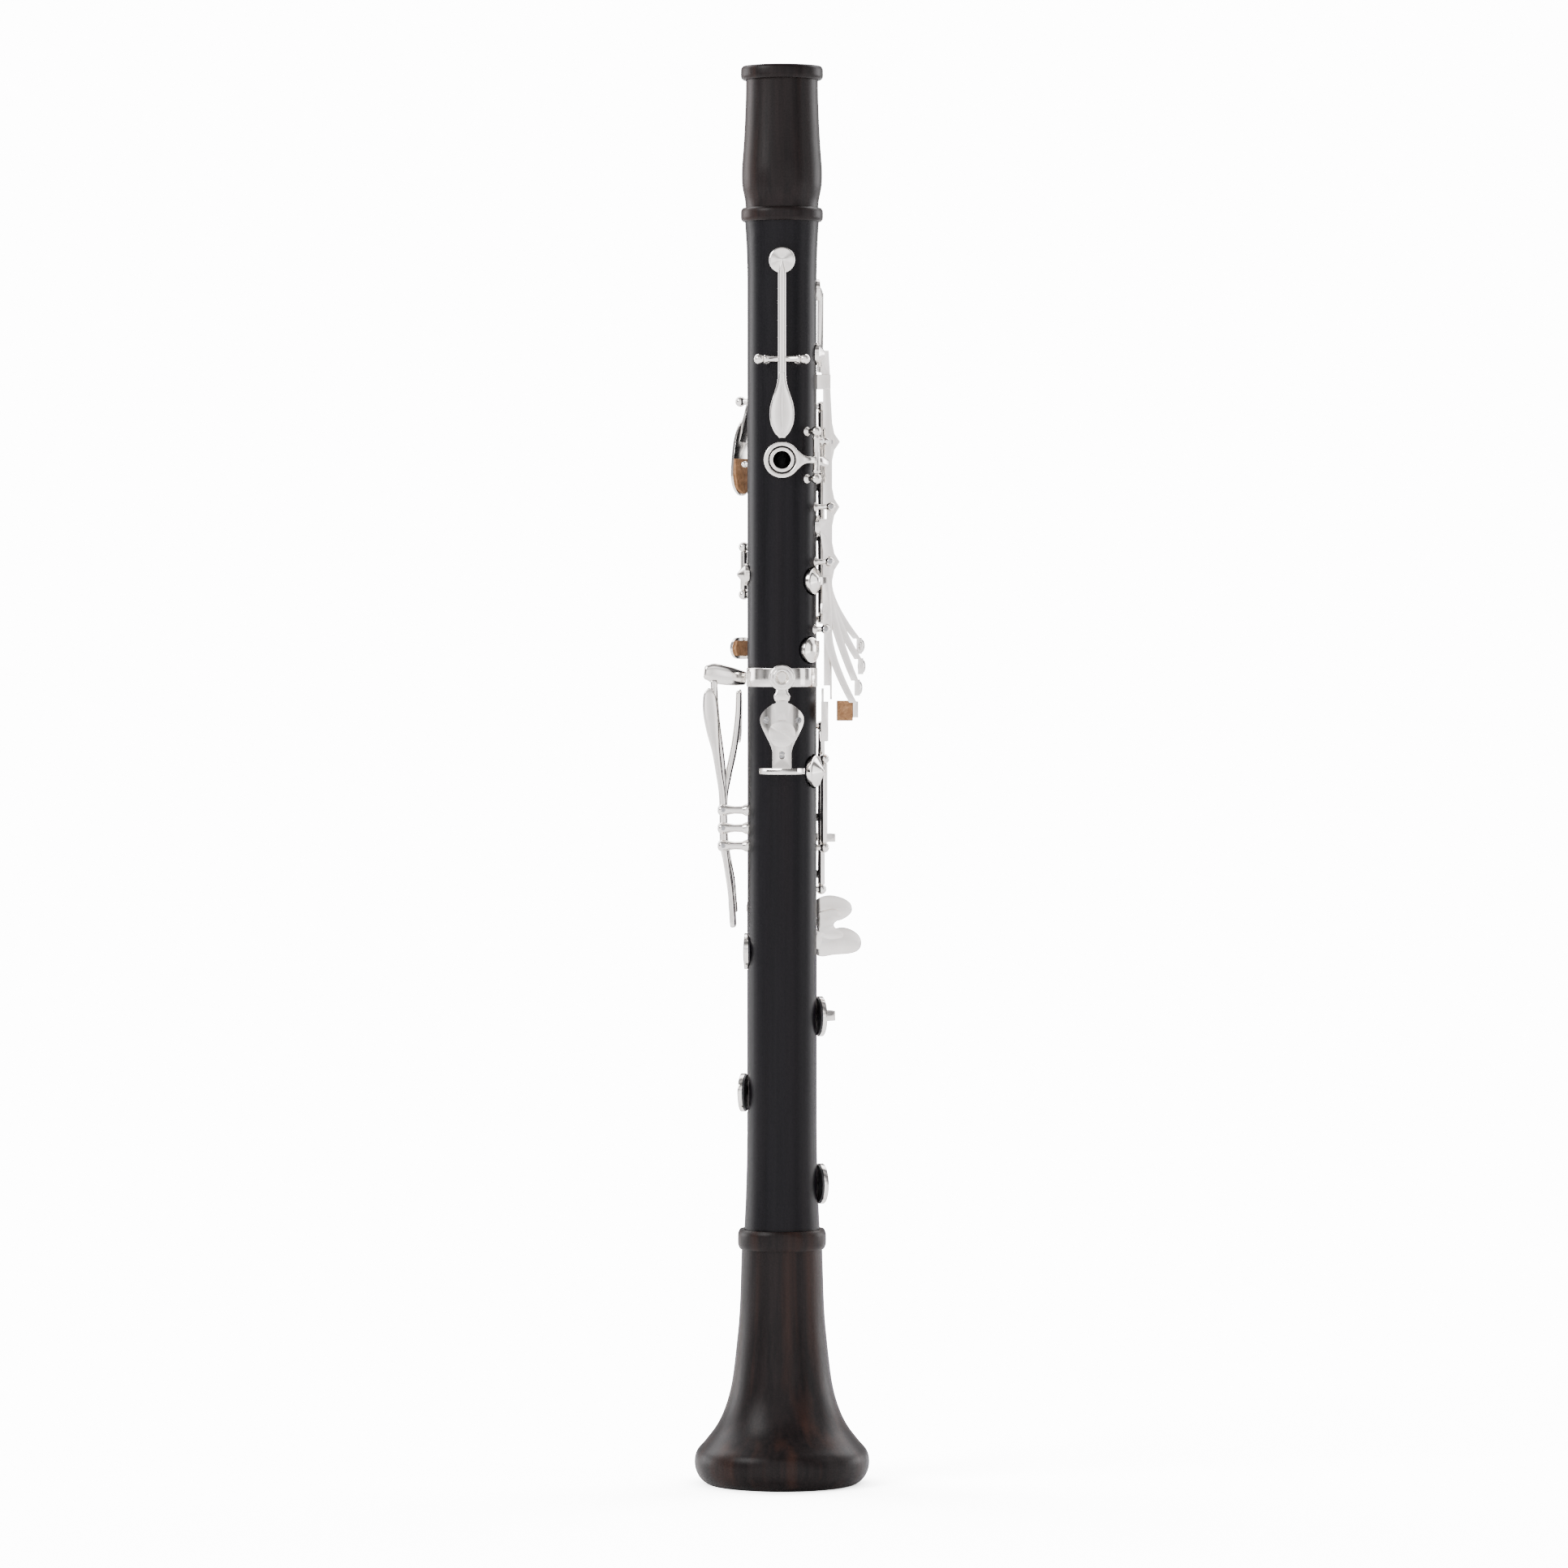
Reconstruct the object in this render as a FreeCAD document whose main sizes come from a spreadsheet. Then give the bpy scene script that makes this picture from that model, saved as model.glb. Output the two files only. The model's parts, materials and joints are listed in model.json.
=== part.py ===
"""B-flat soprano clarinet without mouthpiece, as a parametric document.

Frame: millimetres, +Z up along the bore, origin at the middle of the bell rim.
The thumb side faces -Y and the finger side +Y. Angles run around the bore in degrees:
0 is the thumb side (-Y), 90 the player's right (+X), 180 the finger side, -90 the left.
"""
import FreeCAD, Part
import math
import os
import Sketcher
from FreeCAD import Placement, Rotation, Vector

doc = FreeCAD.newDocument("clarinet")
UP = Vector(0, 0, 1)

# ---------------------------------------------------------------- driving dimensions
SIZES = {
    "bore_radius": 7.33, "body_radius": 14.55,
    "bell_height": 107.0, "lower_top": 343.0, "upper_top": 530.0, "barrel_top": 595.0,
    "bell_rim_radius": 31.2, "bell_mouth_radius": 29.6,
    "bell_ring_radius": 18.5, "bell_neck_radius": 16.85, "bell_ring_height": 8.2,
    "bell_socket_radius": 12.8, "bell_socket_depth": 18.6,
    "lower_foot_radius": 15.8, "lower_flare_start": 180.0, "lower_bore_end": 10.6,
    "lower_tenon_radius": 12.5, "lower_tenon_length": 18.0,
    "middle_socket_radius": 11.6, "middle_socket_depth": 21.6,
    "middle_tenon_radius": 11.3, "middle_tenon_length": 21.0,
    "upper_shoulder_radius": 15.5, "top_tenon_radius": 10.9, "top_tenon_length": 16.0,
    "barrel_socket_radius": 11.2, "barrel_socket_depth": 16.5,
    "barrel_ring_radius": 17.25, "barrel_neck_radius": 15.1, "barrel_end_radius": 16.3,
    "barrel_waist_radius": 15.3, "barrel_ring_height": 5.7,
    "cork_groove_depth": 0.8, "cork_proud": 0.15, "cork_length": 12.0,
    "band_radius": 14.85, "band_height": 7.9, "band_depth": 0.8,
    "rod_radius": 0.95, "tube_bore": 1.0, "tube_radius": 1.5, "tube_gap": 2.0,
    "post_ball": 2.2, "post_stem": 1.1, "post_foot": 2.7, "post_foot_height": 1.3,
    "axle_height": 19.5, "pad_thickness": 1.9, "pad_inset": 0.45,
    "pad_gap": 0.12, "seat_radius": 13.2, "ring_outer": 7.4, "ring_inner": 5.85,
    "ring_height": 1.5, "chimney_radius": 4.9, "chimney_height": 17.0, "finger_hole": 3.9,
    "thumb_tube_outer": 5.15, "thumb_tube_inner": 3.72, "bar_thickness": 1.3,
    "touch_thickness": 1.3, "lever_thickness": 1.4, "screw_radius": 0.95,
    "screw_head_radius": 1.4, "lock_disc_radius": 5.6, "wrap_inner": 15.0, "wrap_outer": 16.4,
}
sheet = doc.addObject("Spreadsheet::Sheet", "dims")
for row, (alias, number) in enumerate(SIZES.items(), start=1):
    sheet.set(f"A{row}", alias.replace("_", " "))
    sheet.set(f"B{row}", str(number))
    sheet.setAlias(f"B{row}", alias)
doc.recompute()


def size(alias):
    """The number behind a name in the sheet; a plain number is passed through."""
    return SIZES[alias] if isinstance(alias, str) else alias


# ---------------------------------------------------------------- placing and primitives
def direction(phi):
    """Unit vector pointing outward at an angle around the bore."""
    turn = math.radians(phi)
    return Vector(math.sin(turn), -math.cos(turn), 0)


def point(phi, radius, z):
    return direction(phi) * size(radius) + Vector(0, 0, z)


def along(axis, base, side=UP):
    """Placement at base whose Z runs along axis and whose X is as near to side as it can be."""
    z_axis = Vector(axis).normalize()
    return Placement(base, Rotation(Vector(side), Vector(0, 0, 0), z_axis, "ZXY"))


def spot(phi, z, radius=0.0):
    """Placement on a radius: local X runs around the bore, Y up, Z outward."""
    out = direction(phi)
    around = Vector(-out.y, out.x, 0)
    return Placement(out * size(radius) + Vector(0, 0, z), Rotation(around, UP, out, "ZYX"))


def primitive(kind, place, **sizes):
    """A Part primitive; a size given as text is bound to the sheet."""
    obj = doc.addObject("Part::" + kind, kind)
    for prop, number in sizes.items():
        if isinstance(number, str):
            obj.setExpression(prop, number)
        else:
            setattr(obj, prop, number)
    obj.Placement = place
    return obj


def cylinder(place, radius, height):
    if isinstance(radius, str):
        radius = "dims." + radius
    return primitive("Cylinder", place, Radius=radius, Height=height)


def fuse(shapes):
    if len(shapes) == 1:
        return shapes[0]
    obj = doc.addObject("Part::MultiFuse", "Fuse")
    obj.Shapes = shapes
    return obj


def cut(base, tools):
    obj = doc.addObject("Part::Cut", "Cut")
    obj.Base = base
    obj.Tool = fuse(tools)
    return obj


parts = []


def finish(obj, name):
    """Name a finished sub-part and put it on the list that is written out."""
    obj.Label = name
    parts.append(obj)
    return obj


def freeform(shape, name="shape"):
    obj = doc.addObject("Part::Feature", name)
    obj.Shape = shape
    return obj


def plate(edges, place, thickness, name="plate"):
    """A flat plate: a closed outline in local XY, drawn up along local Z."""
    face = Part.Face(Part.Wire(edges))
    outline = freeform(face, name + "_outline")
    outline.Placement = place
    solid = doc.addObject("Part::Extrusion", name)
    solid.Base = outline
    solid.DirMode = "Custom"
    solid.Dir = place.Rotation.multVec(UP)
    solid.Solid = True
    if isinstance(thickness, str):
        solid.setExpression("LengthFwd", "dims." + thickness)
    else:
        solid.LengthFwd = thickness
    return solid


def smooth(points):
    """One closed smooth edge through the points."""
    curve = Part.BSplineCurve()
    curve.interpolate([Vector(x, y, 0) for x, y in points], PeriodicFlag=True)
    return [curve.toShape()]


def corners(points):
    """Straight edges round the points."""
    loop = [Vector(x, y, 0) for x, y in points]
    return [Part.LineSegment(a, b).toShape() for a, b in zip(loop, loop[1:] + loop[:1])]


def bar(start, end, side, width, thickness, end_width=None):
    """A straight flat bar from start to end; its width lies along side."""
    end_width = width if end_width is None else end_width
    run = end - start
    flat = Vector(side).normalize()
    normal = run.cross(flat).normalize()
    flat = normal.cross(run).normalize()
    back = normal * (-thickness / 2)
    loop = [start + flat * (width / 2), end + flat * (end_width / 2),
            end - flat * (end_width / 2), start - flat * (width / 2)]
    loop = [p + back for p in loop]
    face = Part.Face(Part.makePolygon(loop + loop[:1]))
    return freeform(face.extrude(normal * thickness), "bar")


def band(phi_from, phi_to, inner, outer, z_from, z_to):
    """A strip bent round the bore between two angles."""
    low, high = sorted((phi_from, phi_to))
    section = [point(low, inner, z_from), point(low, outer, z_from),
               point(low, outer, z_to), point(low, inner, z_to)]
    face = Part.Face(Part.makePolygon(section + section[:1]))
    return freeform(face.revolve(Vector(), UP, high - low), "band")


def ball(centre, radius="post_ball"):
    if isinstance(radius, str):
        radius = "dims." + radius
    return primitive("Sphere", Placement(centre, Rotation()), Radius=radius)


# ---------------------------------------------------------------- turned pieces
def turned(name, outline):
    """A PartDesign body turned about the bore.

    The outline is a closed loop of corners (radius, height), each a sheet name or a number.
    A corner may carry a list of points in between: the edge that leads to it is a smooth
    curve through them.
    """
    body = doc.addObject("PartDesign::Body", name + "_turning")
    plane = [f for f in body.Origin.OriginFeatures if f.Role == "XZ_Plane"][0]
    sketch = body.newObject("Sketcher::SketchObject", name + "_outline")
    sketch.AttachmentSupport = [(plane, "")]
    sketch.MapMode = "FlatFace"
    flat = [(size(r), size(z)) for r, z, *_ in outline]
    for index in range(len(outline)):
        last = flat[index - 1]
        here = flat[index]
        between = outline[index][2] if len(outline[index]) > 2 else None
        if between:
            curve = Part.BSplineCurve()
            curve.interpolate([Vector(r, z, 0) for r, z in [last] + between + [here]])
            sketch.addGeometry(curve, False)
        else:
            sketch.addGeometry(Part.LineSegment(Vector(*last, 0), Vector(*here, 0)), False)
    for index in range(len(outline)):
        following = (index + 1) % len(outline)
        sketch.addConstraint(Sketcher.Constraint("Coincident", index, 2, following, 1))
        for kind, entry in zip(("DistanceX", "DistanceY"), outline[index][:2]):
            if isinstance(entry, str):
                spacing = Sketcher.Constraint(kind, -1, 1, index, 2, size(entry))
                number = sketch.addConstraint(spacing)
                sketch.setExpression(f"Constraints[{number}]", "dims." + entry)
    turning = body.newObject("PartDesign::Revolution", name + "_revolution")
    turning.Profile = sketch
    turning.ReferenceAxis = (sketch, ["V_Axis"])
    turning.Angle = 360.0
    body.Tip = turning
    doc.recompute()
    return body


BELL_OUTSIDE = [(34.9, 3.0), (36.3, 6.0), (36.7, 8.6), (36.5, 11.2), (35.5, 13.9), (33.2, 16.6),
                (30.9, 19.4), (28.8, 22.1), (25.6, 27.5), (23.4, 33.0), (21.8, 38.5), (20.3, 47.0),
                (19.1, 57.5), (18.06, 68.0), (17.3, 84.0)]
BELL_INSIDE = [(24.0, 9.0), (20.0, 18.0), (17.0, 28.0), (14.2, 45.0), (12.2, 65.0)]


def make_bell():
    ring_low = size("bell_height") - size("bell_ring_height")
    socket_floor = size("bell_height") - size("bell_socket_depth")
    height = size("bell_height")
    crown = size("bell_ring_radius")
    ring_edge = crown - 0.9
    outline = [
        ("bell_rim_radius", 0.0),
        ("bell_neck_radius", ring_low, BELL_OUTSIDE),
        (ring_edge, ring_low),
        (ring_edge, "bell_height", [(crown - 0.15, ring_low + 1.6), (crown, ring_low + 4.1),
                                    (crown - 0.15, height - 1.6)]),
        ("bell_socket_radius", "bell_height"), ("bell_socket_radius", socket_floor),
        ("lower_bore_end", socket_floor),
        ("bell_mouth_radius", 0.0, BELL_INSIDE[::-1]),
    ]
    return finish(turned("bell", outline), "bell")


def make_barrel():
    top = size("barrel_top")
    low = size("upper_top")
    high_ring = top - size("barrel_ring_height")
    low_ring = low + size("barrel_ring_height")
    crown = size("barrel_ring_radius")
    outline = [
        ("barrel_socket_radius", "barrel_top"),
        ("barrel_socket_radius", top - size("barrel_socket_depth")),
        ("bore_radius", top - size("barrel_socket_depth")),
        ("bore_radius", low + size("barrel_socket_depth")),
        ("barrel_socket_radius", low + size("barrel_socket_depth")),
        ("barrel_socket_radius", "upper_top"),
        ("barrel_end_radius", "upper_top"),
        ("barrel_end_radius", low_ring,
         [(crown - 0.15, low + 1.0), (crown, low + 2.8), (crown - 0.15, low + 4.7)]),
        ("barrel_waist_radius", low_ring),
        ("barrel_neck_radius", high_ring,
         [(15.7, low + 10.0), (16.5, low + 14.0), (16.85, low + 19.0), (16.75, low + 23.0),
          (16.3, low + 29.0), (15.75, low + 38.0), (15.25, low + 50.0)]),
        ("barrel_end_radius", high_ring),
        ("barrel_end_radius", "barrel_top",
         [(crown - 0.15, high_ring + 0.9), (crown, high_ring + 2.8), (crown - 0.15, top - 1.0)]),
    ]
    return finish(turned("barrel", outline), "barrel")


def tenon_corks():
    """Each tenon has a groove, and a cork ring fills it and stands a little proud."""
    rings = {
        "barrel_tenon_cork": ("top_tenon_radius", size("upper_top") + 2.0),
        "middle_tenon_cork": ("middle_tenon_radius", size("lower_top") - 16.0),
        "bell_tenon_cork": ("lower_tenon_radius", size("bell_height") - 15.0),
    }
    grooves = {}
    for name, (radius, z) in rings.items():
        place = Placement(Vector(0, 0, z), Rotation())
        inner = size(radius) - size("cork_groove_depth")
        outer = primitive("Cylinder", place, Radius=f"dims.{radius} + dims.cork_proud",
                          Height="dims.cork_length")
        core = cylinder(place, inner, 12.0)
        finish(cut(outer, [core]), name)
        grooves[name] = cut(cylinder(place, size(radius) + 1.0, 12.0),
                            [cylinder(place, inner, 12.0)])
    return grooves


# ---------------------------------------------------------------- holes and pads
# Every padded hole: name -> (angle, height, pad diameter, hole radius)
PADS = {
    "register": (0, 513.1, 10.9, 1.2), "throat_a": (180, 486, 10.0, 2.8),
    "throat_g_sharp": (-140, 472, 10.0, 2.8), "left_ring": (152, 438, 9.4, 2.6),
    "c_sharp_g_sharp": (53, 350.5, 10.6, 2.8), "left_sliver": (-86, 382.2, 9.3, 2.5),
    "side_1": (62, 379.4, 11.0, 2.8), "side_2": (89, 402.5, 9.0, 2.6),
    "side_3": (88, 474.6, 9.5, 2.6), "side_4": (97, 501.5, 9.0, 2.4),
    "right_sliver": (67, 299.7, 13.3, 3.3), "ab_eb": (-92, 223.9, 15.0, 4.6),
    "f_sharp_c_sharp": (101, 196.3, 16.7, 5.2), "f_c": (-97, 164.3, 16.0, 5.2),
    "e_b": (101, 125.8, 16.8, 5.4),
}
# Pads that stand open until their key is pressed: name -> (angle of the axle, opening turn)
OPEN_PADS = {"left_ring": (122, -5.5), "f_sharp_c_sharp": (158, 5.0), "f_c": (-150, -5.2),
             "e_b": (140, 6.3)}
SEATS = {"register": 15.9, "e_b": 13.6}
RINGED_HOLES_UPPER = (419.0, 398.0)
RINGED_HOLES_LOWER = (304.0, 280.0, 256.0)
PLAIN_HOLE = 370.0
THUMB_HOLE = 429.9


def seat(name):
    return SEATS.get(name, size("seat_radius"))


def pad_holes(names):
    """Spot faces for the pads, with the holes through to the bore."""
    tools = []
    for name in names:
        phi, z, diameter, hole = PADS[name]
        tools.append(cylinder(spot(phi, z, 0), hole, 20.0))
        if name != "register":
            tools.append(cylinder(spot(phi, z, seat(name)), diameter / 2 + 0.55, 8.0))
    return tools


def chimneys(heights):
    return [cylinder(spot(180, z, 10.0), "chimney_radius", size("chimney_height") - 10.0) for z in heights]


def finger_holes(heights):
    return [cylinder(spot(180, z, 0), "finger_hole", 20.0) for z in heights]


def make_upper_joint(grooves):
    top, low = size("upper_top"), size("lower_top")
    outline = [
        ("bore_radius", low - size("middle_tenon_length")),
        ("middle_tenon_radius", low - size("middle_tenon_length")),
        ("middle_tenon_radius", "lower_top"), ("body_radius", "lower_top"),
        ("body_radius", top - 26.0),
        ("upper_shoulder_radius", "upper_top", [(14.65, top - 17.0), (15.0, top - 8.0)]),
        ("top_tenon_radius", "upper_top"), ("top_tenon_radius", top + size("top_tenon_length")),
        ("bore_radius", top + size("top_tenon_length")),
    ]
    wood = fuse([turned("upper_joint", outline)] + chimneys(RINGED_HOLES_UPPER))
    bore = cylinder(Placement(Vector(0, 0, low), Rotation()), "bore_radius", 150.0)
    holes = pad_holes(["register", "throat_a", "throat_g_sharp", "left_ring", "c_sharp_g_sharp",
                       "left_sliver", "side_1", "side_2", "side_3", "side_4"])
    holes += finger_holes(RINGED_HOLES_UPPER + (PLAIN_HOLE,))
    holes.append(cylinder(spot(180, PLAIN_HOLE, 13.9), 6.0, 5.0))
    holes.append(cylinder(spot(0, THUMB_HOLE, 0), "thumb_tube_outer", 20.0))
    holes.append(cylinder(spot(0, PADS["register"][1], 0), 2.0, 20.0))
    holes += [bore, grooves["barrel_tenon_cork"], grooves["middle_tenon_cork"]]
    finish(cut(wood, holes), "upper_joint")


def make_lower_joint(grooves):
    top, low = size("lower_top"), size("bell_height")
    outline = [
        ("lower_bore_end", low - size("lower_tenon_length")),
        ("lower_tenon_radius", low - size("lower_tenon_length")),
        ("lower_tenon_radius", "bell_height"), ("lower_foot_radius", "bell_height"),
        ("body_radius", 150.0, [(15.25, 118.0), (14.8, 132.0)]),
        ("body_radius", "lower_top"), ("middle_socket_radius", "lower_top"),
        ("middle_socket_radius", top - size("middle_socket_depth")),
        ("bore_radius", top - size("middle_socket_depth")),
        ("bore_radius", "lower_flare_start"),
    ]
    wood = fuse([turned("lower_joint", outline)] + chimneys(RINGED_HOLES_LOWER))
    bore = cylinder(Placement(Vector(0, 0, 190), Rotation()), "bore_radius", 140.0)
    band_place = Placement(Vector(0, 0, top - size("band_height")), Rotation())
    holes = pad_holes(["right_sliver", "ab_eb", "f_sharp_c_sharp", "f_c", "e_b"])
    holes += finger_holes(RINGED_HOLES_LOWER)
    band_seat = size("body_radius") - size("band_depth")
    holes.append(cut(cylinder(band_place, 20.0, 9.0), [cylinder(band_place, band_seat, 9.0)]))
    holes += [bore, grooves["bell_tenon_cork"]]
    finish(cut(wood, holes), "lower_joint")
    outer = primitive("Cylinder", band_place, Radius="dims.band_radius", Height="dims.band_height")
    finish(cut(outer, [cylinder(band_place, band_seat, 9.0)]), "socket_band")


def make_vent_tubes():
    z = PADS["register"][1]
    tube = cylinder(spot(0, z, 6.0), 2.0, seat("register") - 6.0)
    finish(cut(tube, [cylinder(spot(0, z, 0), 1.2, 20.0)]), "register_vent_tube")
    flange = primitive("Cylinder", spot(0, THUMB_HOLE, 7.0), Radius="dims.thumb_tube_outer", Height=10.2)
    finish(cut(flange, [cylinder(spot(0, THUMB_HOLE, 0), "thumb_tube_inner", 20.0)]), "thumb_tube")


def opened(name):
    """The turn about its axle that holds an open pad off its seat."""
    if name not in OPEN_PADS:
        return Placement()
    phi, turn = OPEN_PADS[name]
    return Placement(Vector(), Rotation(UP, turn), point(phi, "axle_height", 0))


def pad_base(name):
    """Distance from the bore axis to the face of a closed pad."""
    return seat(name) + size("pad_gap")


def over_pad(name, radius):
    """Placement above the middle of a pad, at a distance from the bore axis when it is closed."""
    phi, z, _diameter, _hole = PADS[name]
    return opened(name) * spot(phi, z, radius)


pads = {}


def make_pad(name):
    """The pad as a disc a little smaller than its cup, just clear of its seat."""
    pads[name] = primitive("Cylinder", over_pad(name, pad_base(name)), Height="dims.pad_thickness",
                           Radius=PADS[name][2] / 2 - size("pad_inset"))
    finish(pads[name], name + "_pad")


def cup_back(name):
    """Distance from the bore axis to the flat back of a closed cup."""
    return pad_base(name) + size("pad_thickness") + 0.5


def cup(name, point_height=2.6, point_radius=0.9):
    """A pad cup: a low round wall and a conical back that rises to where the arm joins."""
    radius = PADS[name][2] / 2
    rim = pad_base(name) + 0.7
    back = cup_back(name)
    wall = cylinder(over_pad(name, rim), radius, back - rim)
    cone = primitive("Cone", over_pad(name, back), Radius1=radius - 0.25, Radius2=point_radius,
                     Height=point_height)
    return fuse([wall, cone])


def at_pad(name, phi, radius):
    """A point at the height of a pad, turned with it when it is open."""
    return opened(name).multVec(point(phi, radius, PADS[name][1]))


def key(name, shapes, holes, pad=None):
    """Join a key's pieces and take out its axle hole and the room for its pad."""
    room = [pads[pad]] if pad else []
    return finish(cut(fuse(shapes), holes + room), name)


# ---------------------------------------------------------------- hinges
upper_posts, lower_posts, upper_rods, lower_rods = [], [], [], []


def post(group, phi, z, height="axle_height", ball_size="post_ball"):
    """A key post: a flared foot on the wood, a stem and a ball."""
    foot = primitive("Cone", spot(phi, z, 13.6), Radius1="dims.post_foot", Radius2="dims.post_stem",
                     Height="dims.post_foot_height + 0.9")
    stem = cylinder(spot(phi, z, 14.6), "post_stem", size(height) - 14.6)
    group.append([foot, stem, ball(point(phi, height, z), ball_size)])


def long_hinge(upper, phi, low, high, height="axle_height"):
    """Two posts and a rod for a hinge that runs along the body; gives the tube and its hole."""
    posts, rods = (upper_posts, upper_rods) if upper else (lower_posts, lower_rods)
    post(posts, phi, low, height)
    post(posts, phi, high, height)
    start = point(phi, height, low - 1.6)
    rods.append(cylinder(Placement(start, Rotation()), "rod_radius", high - low + 3.2))
    tube_start = Placement(point(phi, height, low + size("tube_gap")), Rotation())
    length = high - low - 2 * size("tube_gap")
    hole = cylinder(Placement(start, Rotation()), "tube_bore", high - low + 4.0)
    return cylinder(tube_start, "tube_radius", length), hole


def cross_hinge(phi, z, spread, height, tube_radius=1.35):
    """Two leaning posts and a rod across the body; gives the tube, its hole and the axle's point."""
    for side in (-spread, spread):
        post(upper_posts, phi + side, z, height)
    reach = height * math.sin(math.radians(spread))
    level = height * math.cos(math.radians(spread))
    around = spot(phi, z).Rotation.multVec(Vector(1, 0, 0))
    middle = point(phi, level, z)
    upper_rods.append(cylinder(along(around, middle - around * (reach + 1.6)), "rod_radius",
                               2 * reach + 3.2))
    half = reach - size("tube_gap")
    hole = cylinder(along(around, middle - around * (reach + 2)), "tube_bore", 2 * reach + 4.0)
    return cylinder(along(around, middle - around * half), tube_radius, 2 * half), hole, level


LEFT_BALL_PHI, LEFT_BALL_Z = -115, 428.5
LEFT_BALL_FOOT, LEFT_BALL_CENTRE, LEFT_BALL_RADIUS = 13.6, 17.4, 1.4


def make_left_ball():
    """The small ball that stops the throat G sharp touch, on a plain stem in line with it."""
    stem = primitive("Cylinder", spot(LEFT_BALL_PHI, LEFT_BALL_Z, LEFT_BALL_FOOT),
                     Radius="dims.post_stem", Height=LEFT_BALL_CENTRE - LEFT_BALL_FOOT)
    head = primitive("Sphere", spot(LEFT_BALL_PHI, LEFT_BALL_Z, LEFT_BALL_CENTRE), Radius=LEFT_BALL_RADIUS)
    upper_posts.append([stem, head])


def make_posts_and_rods():
    for kind, group, rods in (("upper", upper_posts, upper_rods), ("lower", lower_posts, lower_rods)):
        wood = cylinder(Placement(Vector(0, 0, 100), Rotation()), "body_radius", 430.0)
        foot_flare = primitive("Cone", Placement(Vector(0, 0, 107), Rotation()), Radius1=15.85,
                               Radius2=14.5, Height=43.0)
        feet = fuse([shape for one in group for shape in one])
        finish(cut(feet, [wood, foot_flare] + rods), kind + "_posts")
        bundle = doc.addObject("Part::Compound", "rods")
        bundle.Links = rods
        finish(bundle, kind + "_hinge_rods")


# ---------------------------------------------------------------- upper joint keys
REGISTER_AXLE = 471.9


def make_register_key():
    tube, hole, level = cross_hinge(0, REGISTER_AXLE, 27.5, 20.6)
    z_pad = PADS["register"][1]
    back = cup_back("register")
    cup_edge = Vector(0, -back - 0.7, z_pad - PADS["register"][2] / 2)
    lever = [bar(Vector(0, -level, REGISTER_AXLE - 6), Vector(0, -level - 0.1, REGISTER_AXLE + 12),
                 Vector(1, 0, 0), 3.4, 2.0, 3.2),
             bar(Vector(0, -level - 0.1, REGISTER_AXLE + 12), cup_edge, Vector(1, 0, 0), 3.2, 1.8),
             bar(cup_edge, Vector(0, -back - 0.6, z_pad), Vector(1, 0, 0), 3.2, 1.8, 0.9)]
    outline = [(0, 5), (1.7, 2), (2.2, -3), (3.8, -9), (5.0, -16), (5.1, -22), (4.0, -29),
               (1.8, -32.6), (0, -33), (-1.8, -32.6), (-4.0, -29), (-5.1, -22), (-5.0, -16),
               (-3.8, -9), (-2.2, -3), (-1.7, 2)]
    tilt = Rotation(Vector(1, 0, 0), 0.8)
    place = Placement(Vector(0, -level + 0.6, REGISTER_AXLE), tilt * spot(0, 0).Rotation)
    touch = plate(smooth(outline), place, "touch_thickness", "register_touch")
    key("register_key", [tube, cup("register", 1.2), touch] + lever, [hole], "register")


def make_thumb_ring_key():
    tube, hole = long_hinge(True, 47.5, 422.1, 441.9)
    axle = point(47.5, "axle_height", THUMB_HOLE)
    ring = cylinder(spot(0, THUMB_HOLE, 16.2), 7.65, 1.5)
    inside = cylinder(spot(0, THUMB_HOLE, 15.0), 5.75, 4.0)
    arm = bar(Vector(6.4, -17.0, THUMB_HOLE), axle, UP, 8.5, 1.4, 3.0)
    screw_axis = Vector(1, 0.55, 0)
    screw_start = point(47.5, "axle_height", 437.8)
    adjuster = cylinder(along(screw_axis, screw_start), 1.0, 6.0)
    collar = cylinder(along(screw_axis, screw_start + Vector(3.4, 1.9, 0)), 1.5, 1.2)
    link = [bar(point(47.5, 18.6, 428), point(54, 16.2, 428), UP, 6.0, 1.6),
            band(53, 70, 15.5, 16.7, 425.0, 431.0)]
    key("thumb_ring_key", [tube, ring, arm, adjuster, collar] + link, [hole, inside])


def make_throat_a_key():
    tube, hole, level = cross_hinge(180, 463, 22, 20.4)
    back = cup_back("throat_a")
    z_pad = PADS["throat_a"][1]
    lever = bar(Vector(0, level, 458), Vector(0, back + 0.8, z_pad), Vector(1, 0, 0), 3.6, 1.8, 2.0)
    outline = [(0, 3), (2.6, -1), (4.4, -6), (4.2, -12), (0, -16.5), (-4.2, -12), (-4.4, -6),
               (-2.6, -1)]
    touch = plate(smooth(outline), spot(180, 463, level - 0.4), "touch_thickness", "throat_a_touch")
    key("throat_a_key", [tube, cup("throat_a", 1.8), touch, lever], [hole], "throat_a")


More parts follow.
